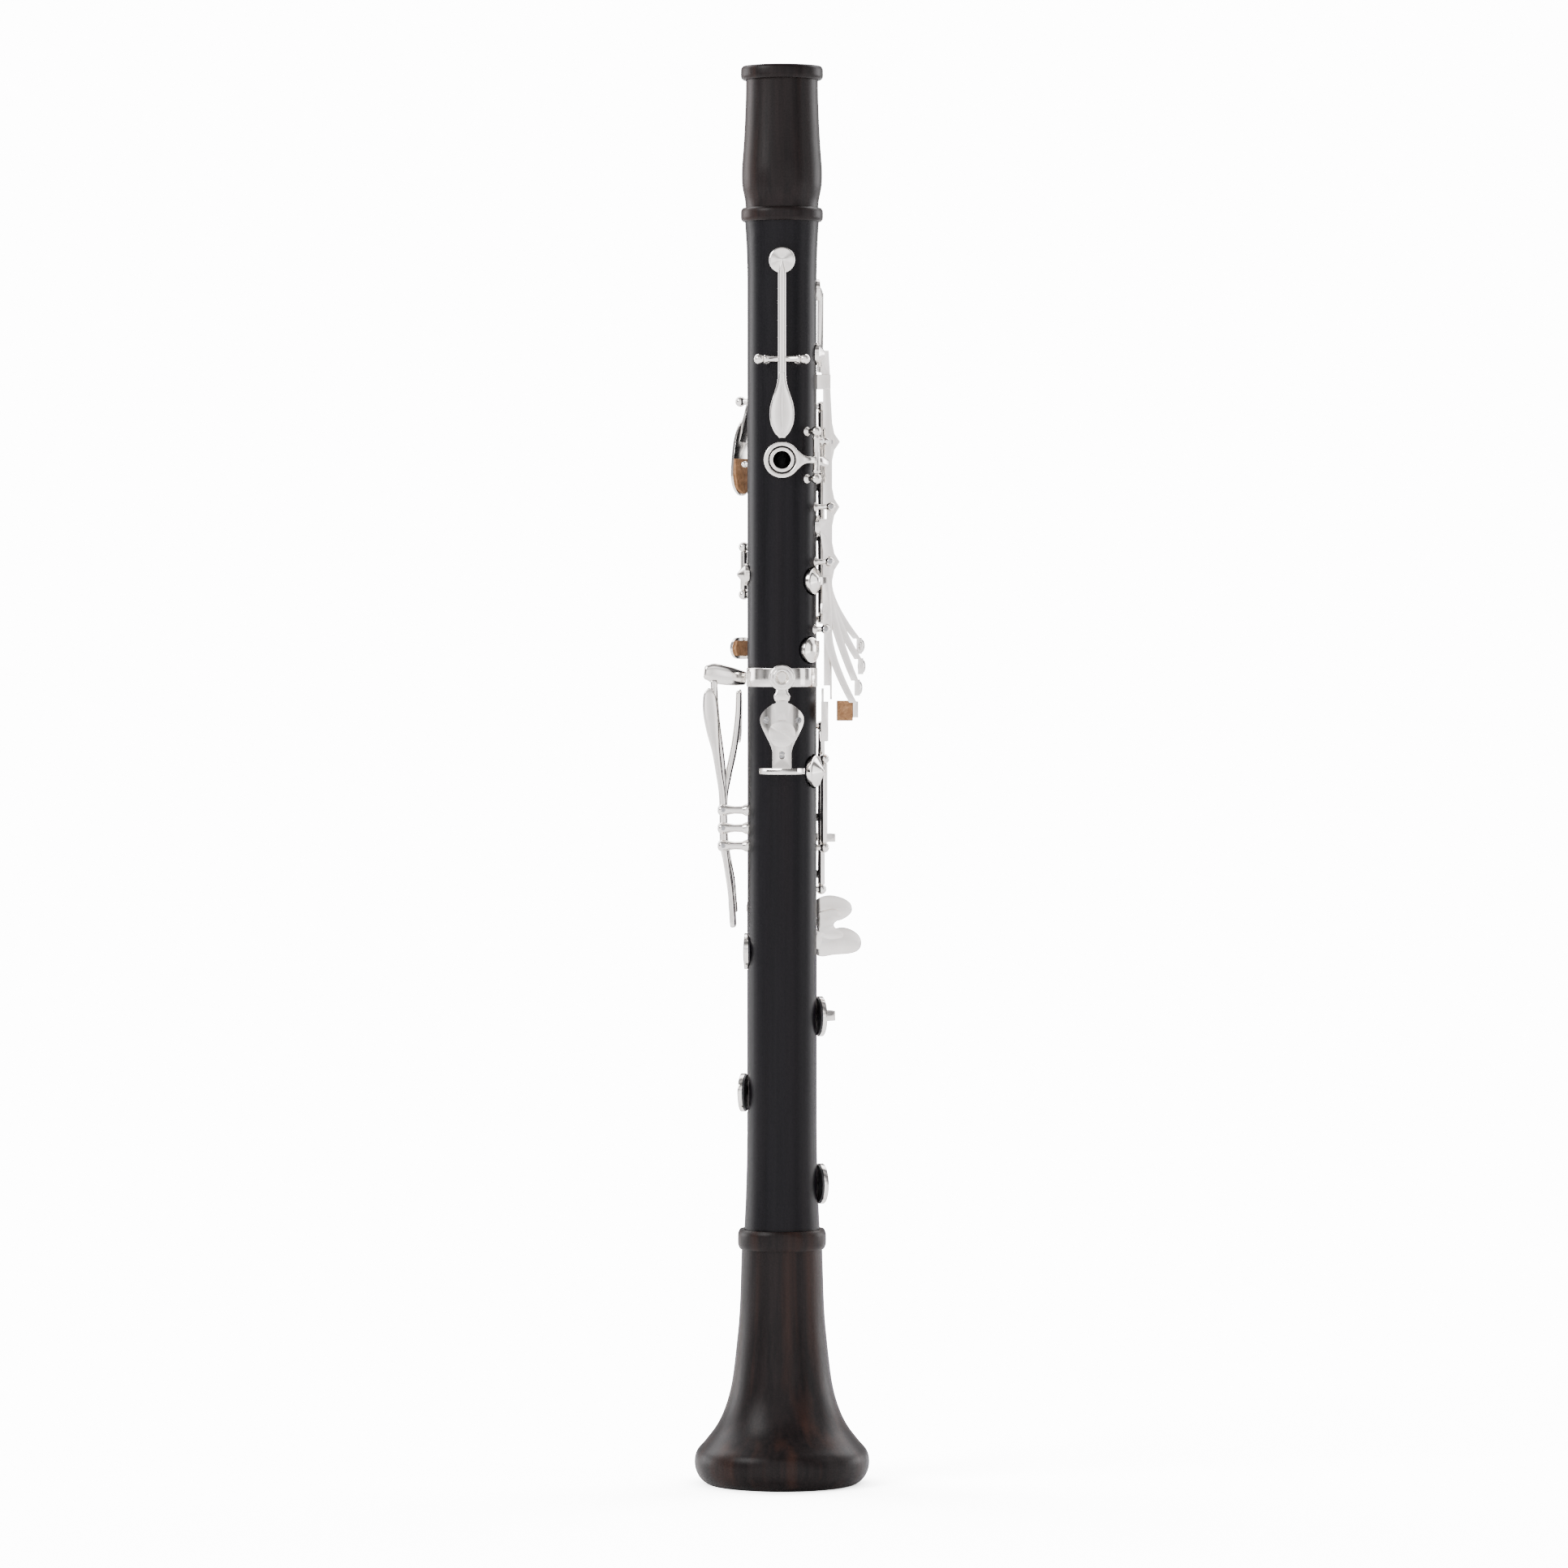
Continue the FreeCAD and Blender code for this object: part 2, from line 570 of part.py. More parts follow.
def make_throat_g_sharp_key():
    tube, hole, level = cross_hinge(-138, 455, 17, 20.4)
    back = cup_back("throat_g_sharp")
    top = point(-140, back + 0.8, PADS["throat_g_sharp"][1])
    around = Vector(math.cos(math.radians(-138)), math.sin(math.radians(-138)), 0)
    middle = point(-138, level, 455)
    lever = [bar(middle, top, around, 3.2, 1.7, 2.0),
             bar(middle, point(-131, 22.0, 438), around, 3.2, 1.7, 5.0)]
    outline = [(0, 10), (2.8, 6), (5.2, -2), (6.2, -10), (5.0, -18), (0, -21.6), (-5.0, -18),
               (-6.2, -10), (-5.2, -2), (-2.8, 6)]
    touch = plate(smooth(outline), spot(-130, 437, 21.6), "touch_thickness", "g_sharp_touch")
    cork_outline = [(-6.0, -6), (6.0, -6), (5.9, -12), (4.4, -18.4), (0, -20.9), (-4.4, -18.4),
                    (-5.9, -12)]
    cork = plate(corners(cork_outline), spot(-130, 437, 20.4), 1.2, "g_sharp_cork")
    key("throat_g_sharp_key", [tube, cup("throat_g_sharp", 1.8), touch] + lever, [hole, cork],
        "throat_g_sharp")
    finish(cork, "throat_g_sharp_cork")


def ring(z, radius=16.3):
    """A flat ring round a raised finger hole, with room inside for the chimney."""
    outer = cylinder(spot(180, z, radius), "ring_outer", size("ring_height"))
    return cut(outer, [cylinder(spot(180, z, radius - 1), "ring_inner", 5.0)])


def ring_arm(axle_phi, z_ring, z_axle):
    start = point(180, 17.05, z_ring) + Vector(size("ring_outer") - 0.9, -0.1, 0)
    return bar(start, point(axle_phi, 18.9, z_axle), UP, 4.4, 1.4, 3.2)


RING_AXLE = 122
BRIDGE_X, BRIDGE_Y = 19.3, 5.6


def make_left_ring_key():
    tube, hole = long_hinge(True, RING_AXLE, 363.6, 453.0)
    shapes = [tube, cup("left_ring", 1.0, 1.6)]
    for z in RINGED_HOLES_UPPER:
        shapes += [ring(z), ring_arm(RING_AXLE, z, z)]
    cup_middle = at_pad("left_ring", 152, cup_back("left_ring") + 0.5)
    shapes.append(bar(cup_middle, point(RING_AXLE, 19.2, 438), UP, 3.0, 1.4))
    foot = Vector(BRIDGE_X, BRIDGE_Y, 0)
    shapes.append(bar(point(RING_AXLE, 19.6, 368), foot + Vector(0, 0, 368), UP, 4.0, 2.4))
    shapes.append(bar(foot + Vector(0, 0, 370), foot + Vector(0, 0, 335.5), Vector(1, 0, 0), 3.4, 2.6))
    shapes.append(bar(foot + Vector(1.3, 0, 336), foot + Vector(1.3, 0, 329.7), Vector(1, 0, 0), 0.8, 2.6))
    key("left_ring_key", shapes, [hole], "left_ring")


def make_c_sharp_g_sharp_key():
    phi_axle = 165
    tube, hole = long_hinge(True, phi_axle, 346.4, 360.4, 19.2)
    z_pad = PADS["c_sharp_g_sharp"][1]
    back = cup_back("c_sharp_g_sharp")
    shapes = [tube, cup("c_sharp_g_sharp", 1.0, 2.2)]
    shapes.append(band(60, 160, 14.85, 15.75, z_pad + 0.3, z_pad + 3.9))
    shapes.append(bar(point(158, 15.4, z_pad + 2.1), point(phi_axle, 19.2, z_pad + 2.1), UP, 3.6, 1.6))
    shapes.append(bar(point(53, back, z_pad), point(64, 15.5, z_pad + 2.0), UP, 3.0, 1.2))
    shapes.append(bar(point(phi_axle, 19.4, 352), point(-160, 20.4, 352), UP, 4.4, 1.6))
    shapes.append(band(-160, -136, 19.6, 21.2, 349.8, 354.2))
    outline = [(-6, 0), (-4, 4.0), (1, 4.6), (6, 3.4), (7.6, 0), (6, -3.4), (1, -4.6), (-4, -4.0)]
    shapes.append(plate(smooth(outline), spot(-128, 351.2, 20.6), "touch_thickness", "c_sharp_touch"))
    cork_outline = [(-5, -3.2), (5.6, -3.2), (7.0, 0), (5.6, 3.2), (-5, 3.2)]
    cork = plate(corners(cork_outline), spot(-128, 351.2, 19.3), 1.3, "c_sharp_cork")
    key("c_sharp_g_sharp_key", shapes, [hole, cork], "c_sharp_g_sharp")
    finish(cork, "c_sharp_g_sharp_cork")


def make_left_sliver_key():
    tube, hole = long_hinge(True, -118, 373.8, 393.8, 18.2)
    z_pad = PADS["left_sliver"][1]
    shapes = [tube, cup("left_sliver", 3.2, 0.5)]
    shapes.append(bar(point(-118, 18.2, z_pad), point(-88, cup_back("left_sliver") + 0.7, z_pad), UP,
                      3.4, 1.3))
    shapes.append(band(-164, -120, 16.4, 17.6, 381.5, 385.1))
    shapes.append(bar(point(-118, 18.0, 383.3), point(-124, 17.0, 383.3), UP, 3.6, 1.4))
    outline = [(-5.4, -1), (-2, 2.6), (3, 3.4), (5.6, 1.4), (4, -1.8), (0, -3.0), (-4, -2.8)]
    shapes.append(plate(smooth(outline), spot(-166, 383.3, 16.7), "touch_thickness", "sliver_touch"))
    key("left_sliver_key", shapes, [hole], "left_sliver")


# Side keys: each is a tall thin bar in a lane of its own.
# lane: middle of the bar along Y; pivot: (X, Z) of its pivot screw; post: Y of the post's ball;
# touch: (X, Z) of the touch; cup: height and tip radius of the cup's conical back
SIDE_KEYS = {
    1: {"lane": -3.2, "pivot": (18.3, 359.2), "post": -6.4, "touch": (31.4, 325.4), "cup": (2.2, 1.2)},
    2: {"lane": -1.1, "pivot": (20.1, 387.5), "post": -5.2, "touch": (32.2, 334.6), "cup": (0.5, 1.2)},
    3: {"lane": 1.0, "pivot": (20.5, 410.5), "post": -5.2, "touch": (33.6, 343.6), "cup": (2.2, 1.2)},
    4: {"lane": 3.1, "pivot": (20.5, 437.9), "post": 7.0, "touch": (33.0, 352.2), "cup": (0.5, 1.2)},
}


# The inner edge of side keys 3 and 4 steps out over the cup of side key 2
PIVOT_RELIEF = [(17.3, 394), (18.7, 396), (18.7, 409), (17.3, 411), (17.2, 462)]


def side_bar(lane, outline):
    """A bar in the XZ plane, centred on its lane."""
    place = Placement(Vector(0, lane + size("bar_thickness") / 2, 0), Rotation(Vector(1, 0, 0), 90))
    return plate(corners(outline), place, "bar_thickness", "side_bar")


def sweep_out(pivot_z, touch_z, touch_x):
    """Inner and outer edge of a side key below its pivot, bending out to the touch."""
    inner, outer = [], []
    bend = 378.0 if pivot_z > 380 else pivot_z - 2
    start_inner = 17.3 if pivot_z > 380 else 17.6
    for step in range(9):
        share = step / 8
        z = bend + (touch_z + 3.0 - bend) * share
        curve = share ** 1.5
        inner.append((start_inner + (touch_x - 3.2 - start_inner) * curve, z))
        outer.append((21.1 + (touch_x - 21.1) * curve, z))
    return inner, outer


def bump(x, z, side=1):
    """A pointed rise of the outer edge where the pivot passes."""
    return [(21.1, z + side * 8), (22.0, z + side * 3.5), (x, z), (22.0, z - side * 3.5),
            (21.1, z - side * 8)]


FACING_RIGHT = Rotation(Vector(0, 1, 0), Vector(0, 0, 1), Vector(1, 0, 0), "ZXY")
TOUCH_INSET = 1.6
CORK_FACE = 23.0


def side_touch(number, lane, x, z):
    """A spoon shaped touch that reaches away from the bar."""
    length = 13.5 - lane
    outline = [(0, -3.2), (length - 3, -3.4), (length, -1.5), (length, 1.5), (length - 3, 3.4),
               (0, 3.2)]
    place = Placement(Vector(x - TOUCH_INSET, lane - 0.5, z), FACING_RIGHT)
    return plate(corners(outline), place, 2.2, f"side_touch_{number}")


def pivot_screw(lane, x, z, y_ball):
    """Post, shoulder screw and the hole in the bar for one side key."""
    side = 1 if y_ball > 0 else -1
    phi = math.degrees(math.atan2(x, -y_ball))
    post(upper_posts, phi, z, math.hypot(x, y_ball), 2.0)
    tip = lane - side * (size("bar_thickness") / 2 + 0.25)
    head = y_ball + side * 2.2
    axis = Vector(0, -side, 0)
    start = Vector(x, head, z)
    upper_rods.append(cylinder(along(axis, start), "screw_radius", abs(head - tip)))
    return cylinder(along(axis, start), "tube_bore", abs(head - tip) + 2)


def make_side_keys():
    for number, spec in SIDE_KEYS.items():
        lane, (x, z_pivot) = spec["lane"], spec["pivot"]
        touch_x, touch_z = spec["touch"]
        inner, outer = sweep_out(z_pivot, touch_z, touch_x)
        below = outer + inner[::-1]
        hole = pivot_screw(lane, x, z_pivot, spec["post"])
        name = f"side_{number}"
        z_pad = PADS[name][1]
        back = cup_back(name)
        shapes = [cup(name, *spec["cup"])]
        if number == 1:
            outline = [(17.0, z_pad + 2.4), (20.2, z_pad + 2.4), (20.9, 366), (21.1, 358)] + below
            outline += [(16.9, 359), (17.0, 362)]
            shapes.append(bar(point(62, back + 0.6, z_pad), Vector(18.2, lane, z_pad), UP, 3.2, 1.5))
        elif number == 2:
            outline = [(16.0, z_pad + 3.0), (21.1, z_pad + 3.0)] + bump(24.2, z_pivot) + below
            outline += [(17.3, 392), (16.0, z_pad - 3.0)]
        elif number == 3:
            outline = [(16.2, z_pad + 1.5), (19.6, z_pad + 1.5), (20.2, 466)] + bump(24.2, z_pivot)
            outline += below + PIVOT_RELIEF
        else:
            outline = [(16.2, 469.6), (18.4, 469.6), (20.2, 463)] + bump(24.4, z_pivot)
            outline += below + PIVOT_RELIEF
            shapes.append(bar(Vector(17.2, lane - 0.6, 468.3), Vector(16.2, 7.0, 468.3), UP, 2.4, 2.0))
            shapes.append(bar(Vector(16.0, 6.0, 467.3), Vector(16.2, 5.6, 500.5), Vector(1, 0.3, 0),
                              2.2, 1.8))
            shapes.append(bar(Vector(16.3, 6.2, 499.5), point(97, back, 501.0), UP, 3.0, 1.6))
        shapes.append(side_bar(lane, outline))
        shapes.append(side_touch(number, lane, touch_x, touch_z))
        key(f"side_key_{number}", shapes, [hole], name)
    block = [(-4.4, -4.0), (4.4, -4.4), (4.4, 4.2), (-4.4, 4.0)]
    lowest = SIDE_KEYS[1]
    touch_x, touch_z = lowest["touch"]
    place = Placement(Vector(CORK_FACE, lowest["lane"] + 6.5, touch_z - 0.4), FACING_RIGHT)
    cork = plate(corners(block), place, touch_x - TOUCH_INSET - CORK_FACE, "side_cork")
    finish(cork, "side_key_1_cork")


def make_trill_key_guide():
    cheeks = [primitive("Box", Placement(Vector(14.4, y, 460), Rotation()), Length=6.0, Width=0.9,
                        Height=6.0)
              for y in (-1.2, 4.4)]
    floor = primitive("Box", Placement(Vector(13.4, -1.2, 460), Rotation()), Length=2.2, Width=6.5,
                      Height=6.0)
    wood = cylinder(Placement(Vector(0, 0, 455), Rotation()), "body_radius", 20.0)
    finish(cut(fuse(cheeks + [floor]), [wood]), "trill_key_guide")


# ---------------------------------------------------------------- lower joint keys
def make_right_ring_key():
    tube, hole = long_hinge(False, RING_AXLE, 249.6, 318.4)
    shapes = [tube]
    for z in RINGED_HOLES_LOWER:
        shapes += [ring(z), ring_arm(RING_AXLE, z, z)]
    foot = Vector(17.4, 5.2, 0)
    shapes.append(bar(point(RING_AXLE, 19.5, 314), Vector(18.2, 5.2, 314), UP, 4.0, 2.0))
    shapes.append(bar(Vector(18.0, 5.2, 312.2), Vector(18.0, 5.2, 328.8), Vector(1, 0, 0), 3.0, 2.4))
    shapes.append(bar(foot + Vector(-0.3, 0, 327), foot + Vector(-0.3, 0, 334.4), Vector(1, 0, 0), 1.0, 2.4))
    key("right_ring_key", shapes, [hole])


def make_right_sliver_key():
    axle = 108
    tube, hole = long_hinge(False, axle, 267.3, 304.6, 18.6)
    z_pad = PADS["right_sliver"][1]
    shapes = [tube, cup("right_sliver", 3.6, 0.4)]
    shapes.append(bar(point(axle, 18.8, z_pad), point(70, cup_back("right_sliver") + 0.8, z_pad), UP,
                      3.4, 1.4))
    shapes.append(bar(point(axle, 18.6, 271.4), point(107, 22.9, 271.4), UP, 3.4, 2.2))
    shapes.append(band(105, 152, 22.1, 23.3, 269.7, 273.1))
    shapes.append(bar(point(151, 22.9, 270.6), point(160, 17.6, 269.0), UP, 3.4, 1.4))
    outline = [(-5.2, 1.2), (-1, 3.0), (4, 2.6), (6.6, 0.4), (4, -2.2), (-1, -2.6), (-5, -1.4)]
    shapes.append(plate(smooth(outline), spot(165, 268.2, 16.8), "touch_thickness", "sliver_touch"))
    key("right_sliver_key", shapes, [hole], "right_sliver")


def lobe(name, x, y, z, points, thickness="touch_thickness"):
    """A pinky touch: a plate that lies in a plane facing the thumb side."""
    place = Placement(Vector(x, y, z), Rotation(Vector(1, 0, 0), 90))
    return plate(smooth(points), place, thickness, name)


def make_f_sharp_c_sharp_key():
    axle = 158
    tube, hole = long_hinge(False, axle, 189.6, 247.6)
    shapes = [tube, cup("f_sharp_c_sharp", 1.2, 3.0)]
    z_pad = PADS["f_sharp_c_sharp"][1]
    back = cup_back("f_sharp_c_sharp")
    shapes.append(bar(point(axle, 19.6, z_pad), point(150, 22.9, z_pad), UP, 4.0, 2.0))
    shapes.append(band(108, 151, 22.1, 23.5, z_pad - 2.0, z_pad + 2.0))
    shapes.append(bar(point(110, 22.7, z_pad), at_pad("f_sharp_c_sharp", 103, back + 0.8), UP, 4.0, 2.0))
    shapes.append(bar(point(axle, 19.2, 242.8), Vector(15.6, 12.6, 242.8), UP, 4.2, 1.6))
    points = [(-0.3, 3.9), (4, 5.3), (9, 4.6), (13.4, 1.8), (14.0, -1.2), (12, -3.6), (8.6, -5.2),
              (3, -5.2), (-0.3, -4.4)]
    shapes.append(lobe("f_sharp_touch", 15.4, 13.0, 241.6, points))
    shapes.append(wrap_band(155, 245, 240.4, 243.2))
    shapes.append(bar(point(154, 15.8, 241.8), point(axle, 19.0, 241.8), UP, 2.8, 2.0))
    key("f_sharp_c_sharp_key", shapes, [hole], "f_sharp_c_sharp")


def wrap_band(phi_from, phi_to, z_from, z_to, inner="wrap_inner", outer="wrap_outer"):
    """A strip that runs under the hinge tubes, round the finger side."""
    return band(phi_from, phi_to, inner, outer, z_from, z_to)


def make_e_b_key():
    axle = 140
    tube, hole = long_hinge(False, axle, 119.6, 238.0)
    shapes = [tube, cup("e_b", 1.2, 3.0)]
    z_pad = PADS["e_b"][1]
    back = cup_back("e_b")
    elbow = at_pad("e_b", 124, 20.6)
    shapes.append(bar(point(axle, 19.6, z_pad), elbow, UP, 4.0, 1.8))
    shapes.append(bar(elbow, at_pad("e_b", 104, back + 0.8), UP, 4.0, 1.8))
    points = [(-0.8, 5.0), (4, 4.2), (9, 5.6), (14, 4.6), (17.8, 0.6), (17.4, -3.0), (12, -5.3),
              (5, -5.9), (-0.8, -5.6)]
    shapes.append(lobe("e_b_touch", 15.4, 13.0, 227.6, points))
    shapes.append(bar(point(axle, 19.0, 227.0), Vector(15.8, 12.5, 227.0), UP, 8.0, 1.4))
    shapes.append(wrap_band(137, 245, 233.0, 235.6, 14.85, 15.9))
    shapes.append(bar(point(138, 15.5, 234.3), point(axle, 19.0, 234.3), UP, 2.6, 2.0))
    key("e_b_key", shapes, [hole], "e_b")


def make_f_c_touch_lever():
    axle = 176
    tube, hole = long_hinge(False, axle, 168.0, 230.4)
    shapes = [tube]
    shapes.append(bar(point(axle, 19.0, 225.4), point(170, 16.2, 225.4), UP, 2.8, 1.8))
    shapes.append(wrap_band(122, 173, 224.0, 226.8, 15.5, 16.9))
    shapes.append(bar(Vector(14.5, 9.4, 224.6), Vector(16.4, 9.05, 231.5), Vector(1, 0, 0), 2.6, 1.3))
    heart = [(0.3, 5.2), (4, 6.4), (8.3, 6.0), (9.4, 3.4), (6.4, 0.4), (6.6, -0.6), (9.6, -2.6),
             (10.4, -4.4), (8, -5.6), (3.6, -5.6), (0.3, -3.4), (-0.8, 0.6)]
    shapes.append(lobe("crows_foot", 15.4, 9.6, 234.4, heart, 1.1))
    touch = [(-5, 4.0), (0, 4.8), (5, 4.0), (6.2, 0), (5, -4.0), (0, -4.8), (-5, -4.0), (-6.0, 0)]
    shapes.append(lobe("f_c_touch", 8.0, 22.4, 223.4, touch))
    shapes.append(bar(point(axle, 20.0, 222.6), Vector(5.5, 21.9, 222.6), UP, 5.0, 1.4))
    shapes.append(bar(point(axle, 18.9, 173.6), Vector(-4.6, 17.7, 173.6), UP, 3.0, 1.4))
    key("f_c_touch_lever", shapes, [hole])


def make_f_c_key():
    axle = -150
    tube, hole = long_hinge(False, axle, 150.0, 180.0)
    z_pad = PADS["f_c"][1]
    back = cup_back("f_c")
    shapes = [tube, cup("f_c", 1.2, 3.0)]
    elbow = at_pad("f_c", -124, 20.6)
    shapes.append(bar(point(axle, 19.8, z_pad), elbow, UP, 4.0, 1.8))
    shapes.append(bar(elbow, at_pad("f_c", -100, back + 0.8), UP, 4.0, 1.8))
    shapes.append(bar(point(axle, 20.2, 173.6), Vector(-2.6, 20.7, 173.6), UP, 3.0, 1.4))
    key("f_c_key", shapes, [hole], "f_c")


def make_ab_eb_key():
    axle = -166
    tube, hole = long_hinge(False, axle, 212.4, 246.0)
    z_pad = PADS["ab_eb"][1]
    back = cup_back("ab_eb")
    shapes = [tube, cup("ab_eb", 0.5, 3.0)]
    shapes.append(band(-162, -118, 16.0, 17.6, 217.4, 221.4))
    shapes.append(bar(point(-161, 16.8, 219.4), point(axle, 19.0, 219.4), UP, 4.0, 2.0))
    shapes.append(bar(point(-120, 16.8, 219.4), point(-98, back - 0.2, 222.4), UP, 4.0, 1.4))
    touch = [(-5, 3.4), (0, 4.6), (5, 4.2), (6.2, 0), (5, -4.0), (0, -4.6), (-5, -3.4), (-6.0, 0)]
    shapes.append(lobe("ab_eb_touch", 8.0, 22.4, 242.6, touch))
    shapes.append(bar(point(axle, 20.2, 241.0), Vector(-1.0, 21.8, 241.0), UP, 4.4, 1.4))
    shapes.append(bar(Vector(-1.4, 21.75, 241.0), Vector(4.0, 21.75, 241.6), UP, 4.4, 1.4))
    key("ab_eb_key", shapes, [hole], "ab_eb")


# Left-hand levers: tall rockers on pivot screws in the three baluster posts
LEVER_PIVOT_X = -24.7
LEVER_PIVOTS = {"left_f_lever": 268.3, "left_e_lever": 275.7, "left_f_sharp_lever": 283.3}
LEVER_LANES = {"left_f_lever": 2.6, "left_e_lever": 5.0, "left_f_sharp_lever": 7.4}
# Each lever's outline in the XZ plane, from the lower end up the outer side and down the inner side
LEVER_OUTLINES = {
    "left_f_lever": [(-21.4, 233.8), (-22.2, 250), (-24.0, 262), (-27.4, 266), (-27.6, 286),
                     (-28.0, 296), (-30.4, 305), (-33.0, 315), (-33.4, 324), (-31.8, 331), (-28.8, 333.6),
                     (-27.2, 330), (-27.6, 318), (-26.4, 308), (-24.0, 297), (-21.8, 286), (-21.6, 264),
                     (-19.8, 252), (-19.4, 233.8)],
    "left_e_lever": [(-21.4, 234.4), (-21.8, 250), (-23.4, 262), (-27.4, 266), (-27.6, 286),
                     (-27.0, 296), (-27.6, 308), (-29.6, 320), (-30.4, 336), (-26.6, 336), (-26.2, 320),
                     (-24.6, 308), (-23.4, 297), (-21.8, 286), (-21.6, 264), (-19.6, 252), (-19.2, 234.4)],
    "left_f_sharp_lever": [(-20.6, 240.0), (-21.0, 252), (-23.0, 262), (-27.4, 266), (-27.6, 286),
                           (-24.6, 296), (-22.4, 308), (-20.6, 320), (-20.0, 333.4), (-17.0, 333.4),
                           (-17.2, 320), (-18.6, 308), (-20.2, 297), (-21.4, 286), (-21.6, 264),
                           (-19.0, 252), (-18.6, 240.0)],
}


def make_left_levers():
    for z in LEVER_PIVOTS.values():
        baluster(z)
    for name, outline in LEVER_OUTLINES.items():
        lane = LEVER_LANES[name]
        place = Placement(Vector(0, lane + size("lever_thickness") / 2, 0), Rotation(Vector(1, 0, 0), 90))
        shapes = [plate(corners(outline), place, "lever_thickness", name + "_bar")]
        tools = []
        for other, z in LEVER_PIVOTS.items():
            clearance = "tube_bore" if other == name else 1.9
            tools.append(cylinder(along(Vector(0, 1, 0), Vector(LEVER_PIVOT_X, 0, z)), clearance, 12.0))
        shapes += lever_touch(name)
        key(name, shapes, tools)


def lever_touch(name):
    """The little finger's touch of a left-hand lever."""
    if name == "left_f_lever":
        leaf = [(-3.2, -10), (-3.4, 4), (-1.4, 9), (1.6, 10), (3.0, 4), (2.2, -6), (0, -11)]
        place = Placement(Vector(-30.4, 2.6, 323.6), Rotation(Vector(1, 0, 0.35), 90))
        return [plate(smooth(leaf), place, "touch_thickness", "leaf")]
    if name == "left_e_lever":
        oval = [(-9.2, 1.2), (-7.0, 4.6), (0, 4.4), (8.6, 3.4), (9.0, -1.2), (4, -4.0), (-5.4, -4.6)]
        along_x = Vector(17.5, 9.0, 0).normalize()
        place = Placement(Vector(-23.8, 8.0, 339.6), Rotation(along_x, UP, Vector(0, 0, 0), "YXZ"))
        return [plate(smooth(oval), place, "touch_thickness", "oval"),
                bar(Vector(-28.6, 5.0, 333), Vector(-28.6, 5.2, 339), Vector(1, 0, 0), 3.6, 1.4)]
    inner = [(-11.5, -4.5), (-11.5, 4.0), (9.6, 4.5), (9.8, -2.0), (6, -5.0)]
    place = Placement(Vector(-18.0, 12.0, 323.6), Rotation(UP, Vector(0, 0, 0), Vector(-1, 0, 0), "ZXY"))
    return [plate(corners(inner), place, "touch_thickness", "inner_touch")]


def baluster(z):
    """A turned post that stands straight out on the left side and holds a pivot screw."""
    profile = [(0, 13.8), (2.6, 13.8), (2.4, 15.4), (1.5, 17.2), (1.3, 19.0), (1.7, 21.0),
               (2.3, 23.6), (2.3, 25.4), (1.5, 26.6), (0, 27.0)]
    curve = Part.BSplineCurve()
    curve.interpolate([Vector(r, 0, h) for r, h in profile[1:-1]])
    edges = [Part.LineSegment(Vector(0, 0, 13.8), Vector(2.6, 0, 13.8)).toShape(), curve.toShape(),
             Part.LineSegment(Vector(1.5, 0, 26.6), Vector(0, 0, 26.6)).toShape(),
             Part.LineSegment(Vector(0, 0, 26.6), Vector(0, 0, 13.8)).toShape()]
    solid = Part.Face(Part.Wire(edges)).revolve(Vector(), UP, 360)
    turned_post = freeform(Part.Solid(solid) if solid.ShapeType != "Solid" else solid, "baluster")
    turned_post.Placement = Placement(Vector(0, -1.0, z), Rotation(Vector(0, 1, 0), -90))
    lower_posts.append([turned_post])
    lower_rods.append(cylinder(along(Vector(0, 1, 0), Vector(LEVER_PIVOT_X, -3.4, z)), "screw_radius", 12.2))


# ---------------------------------------------------------------- thumb rest
THIRD_SCREW_Z = 306.7


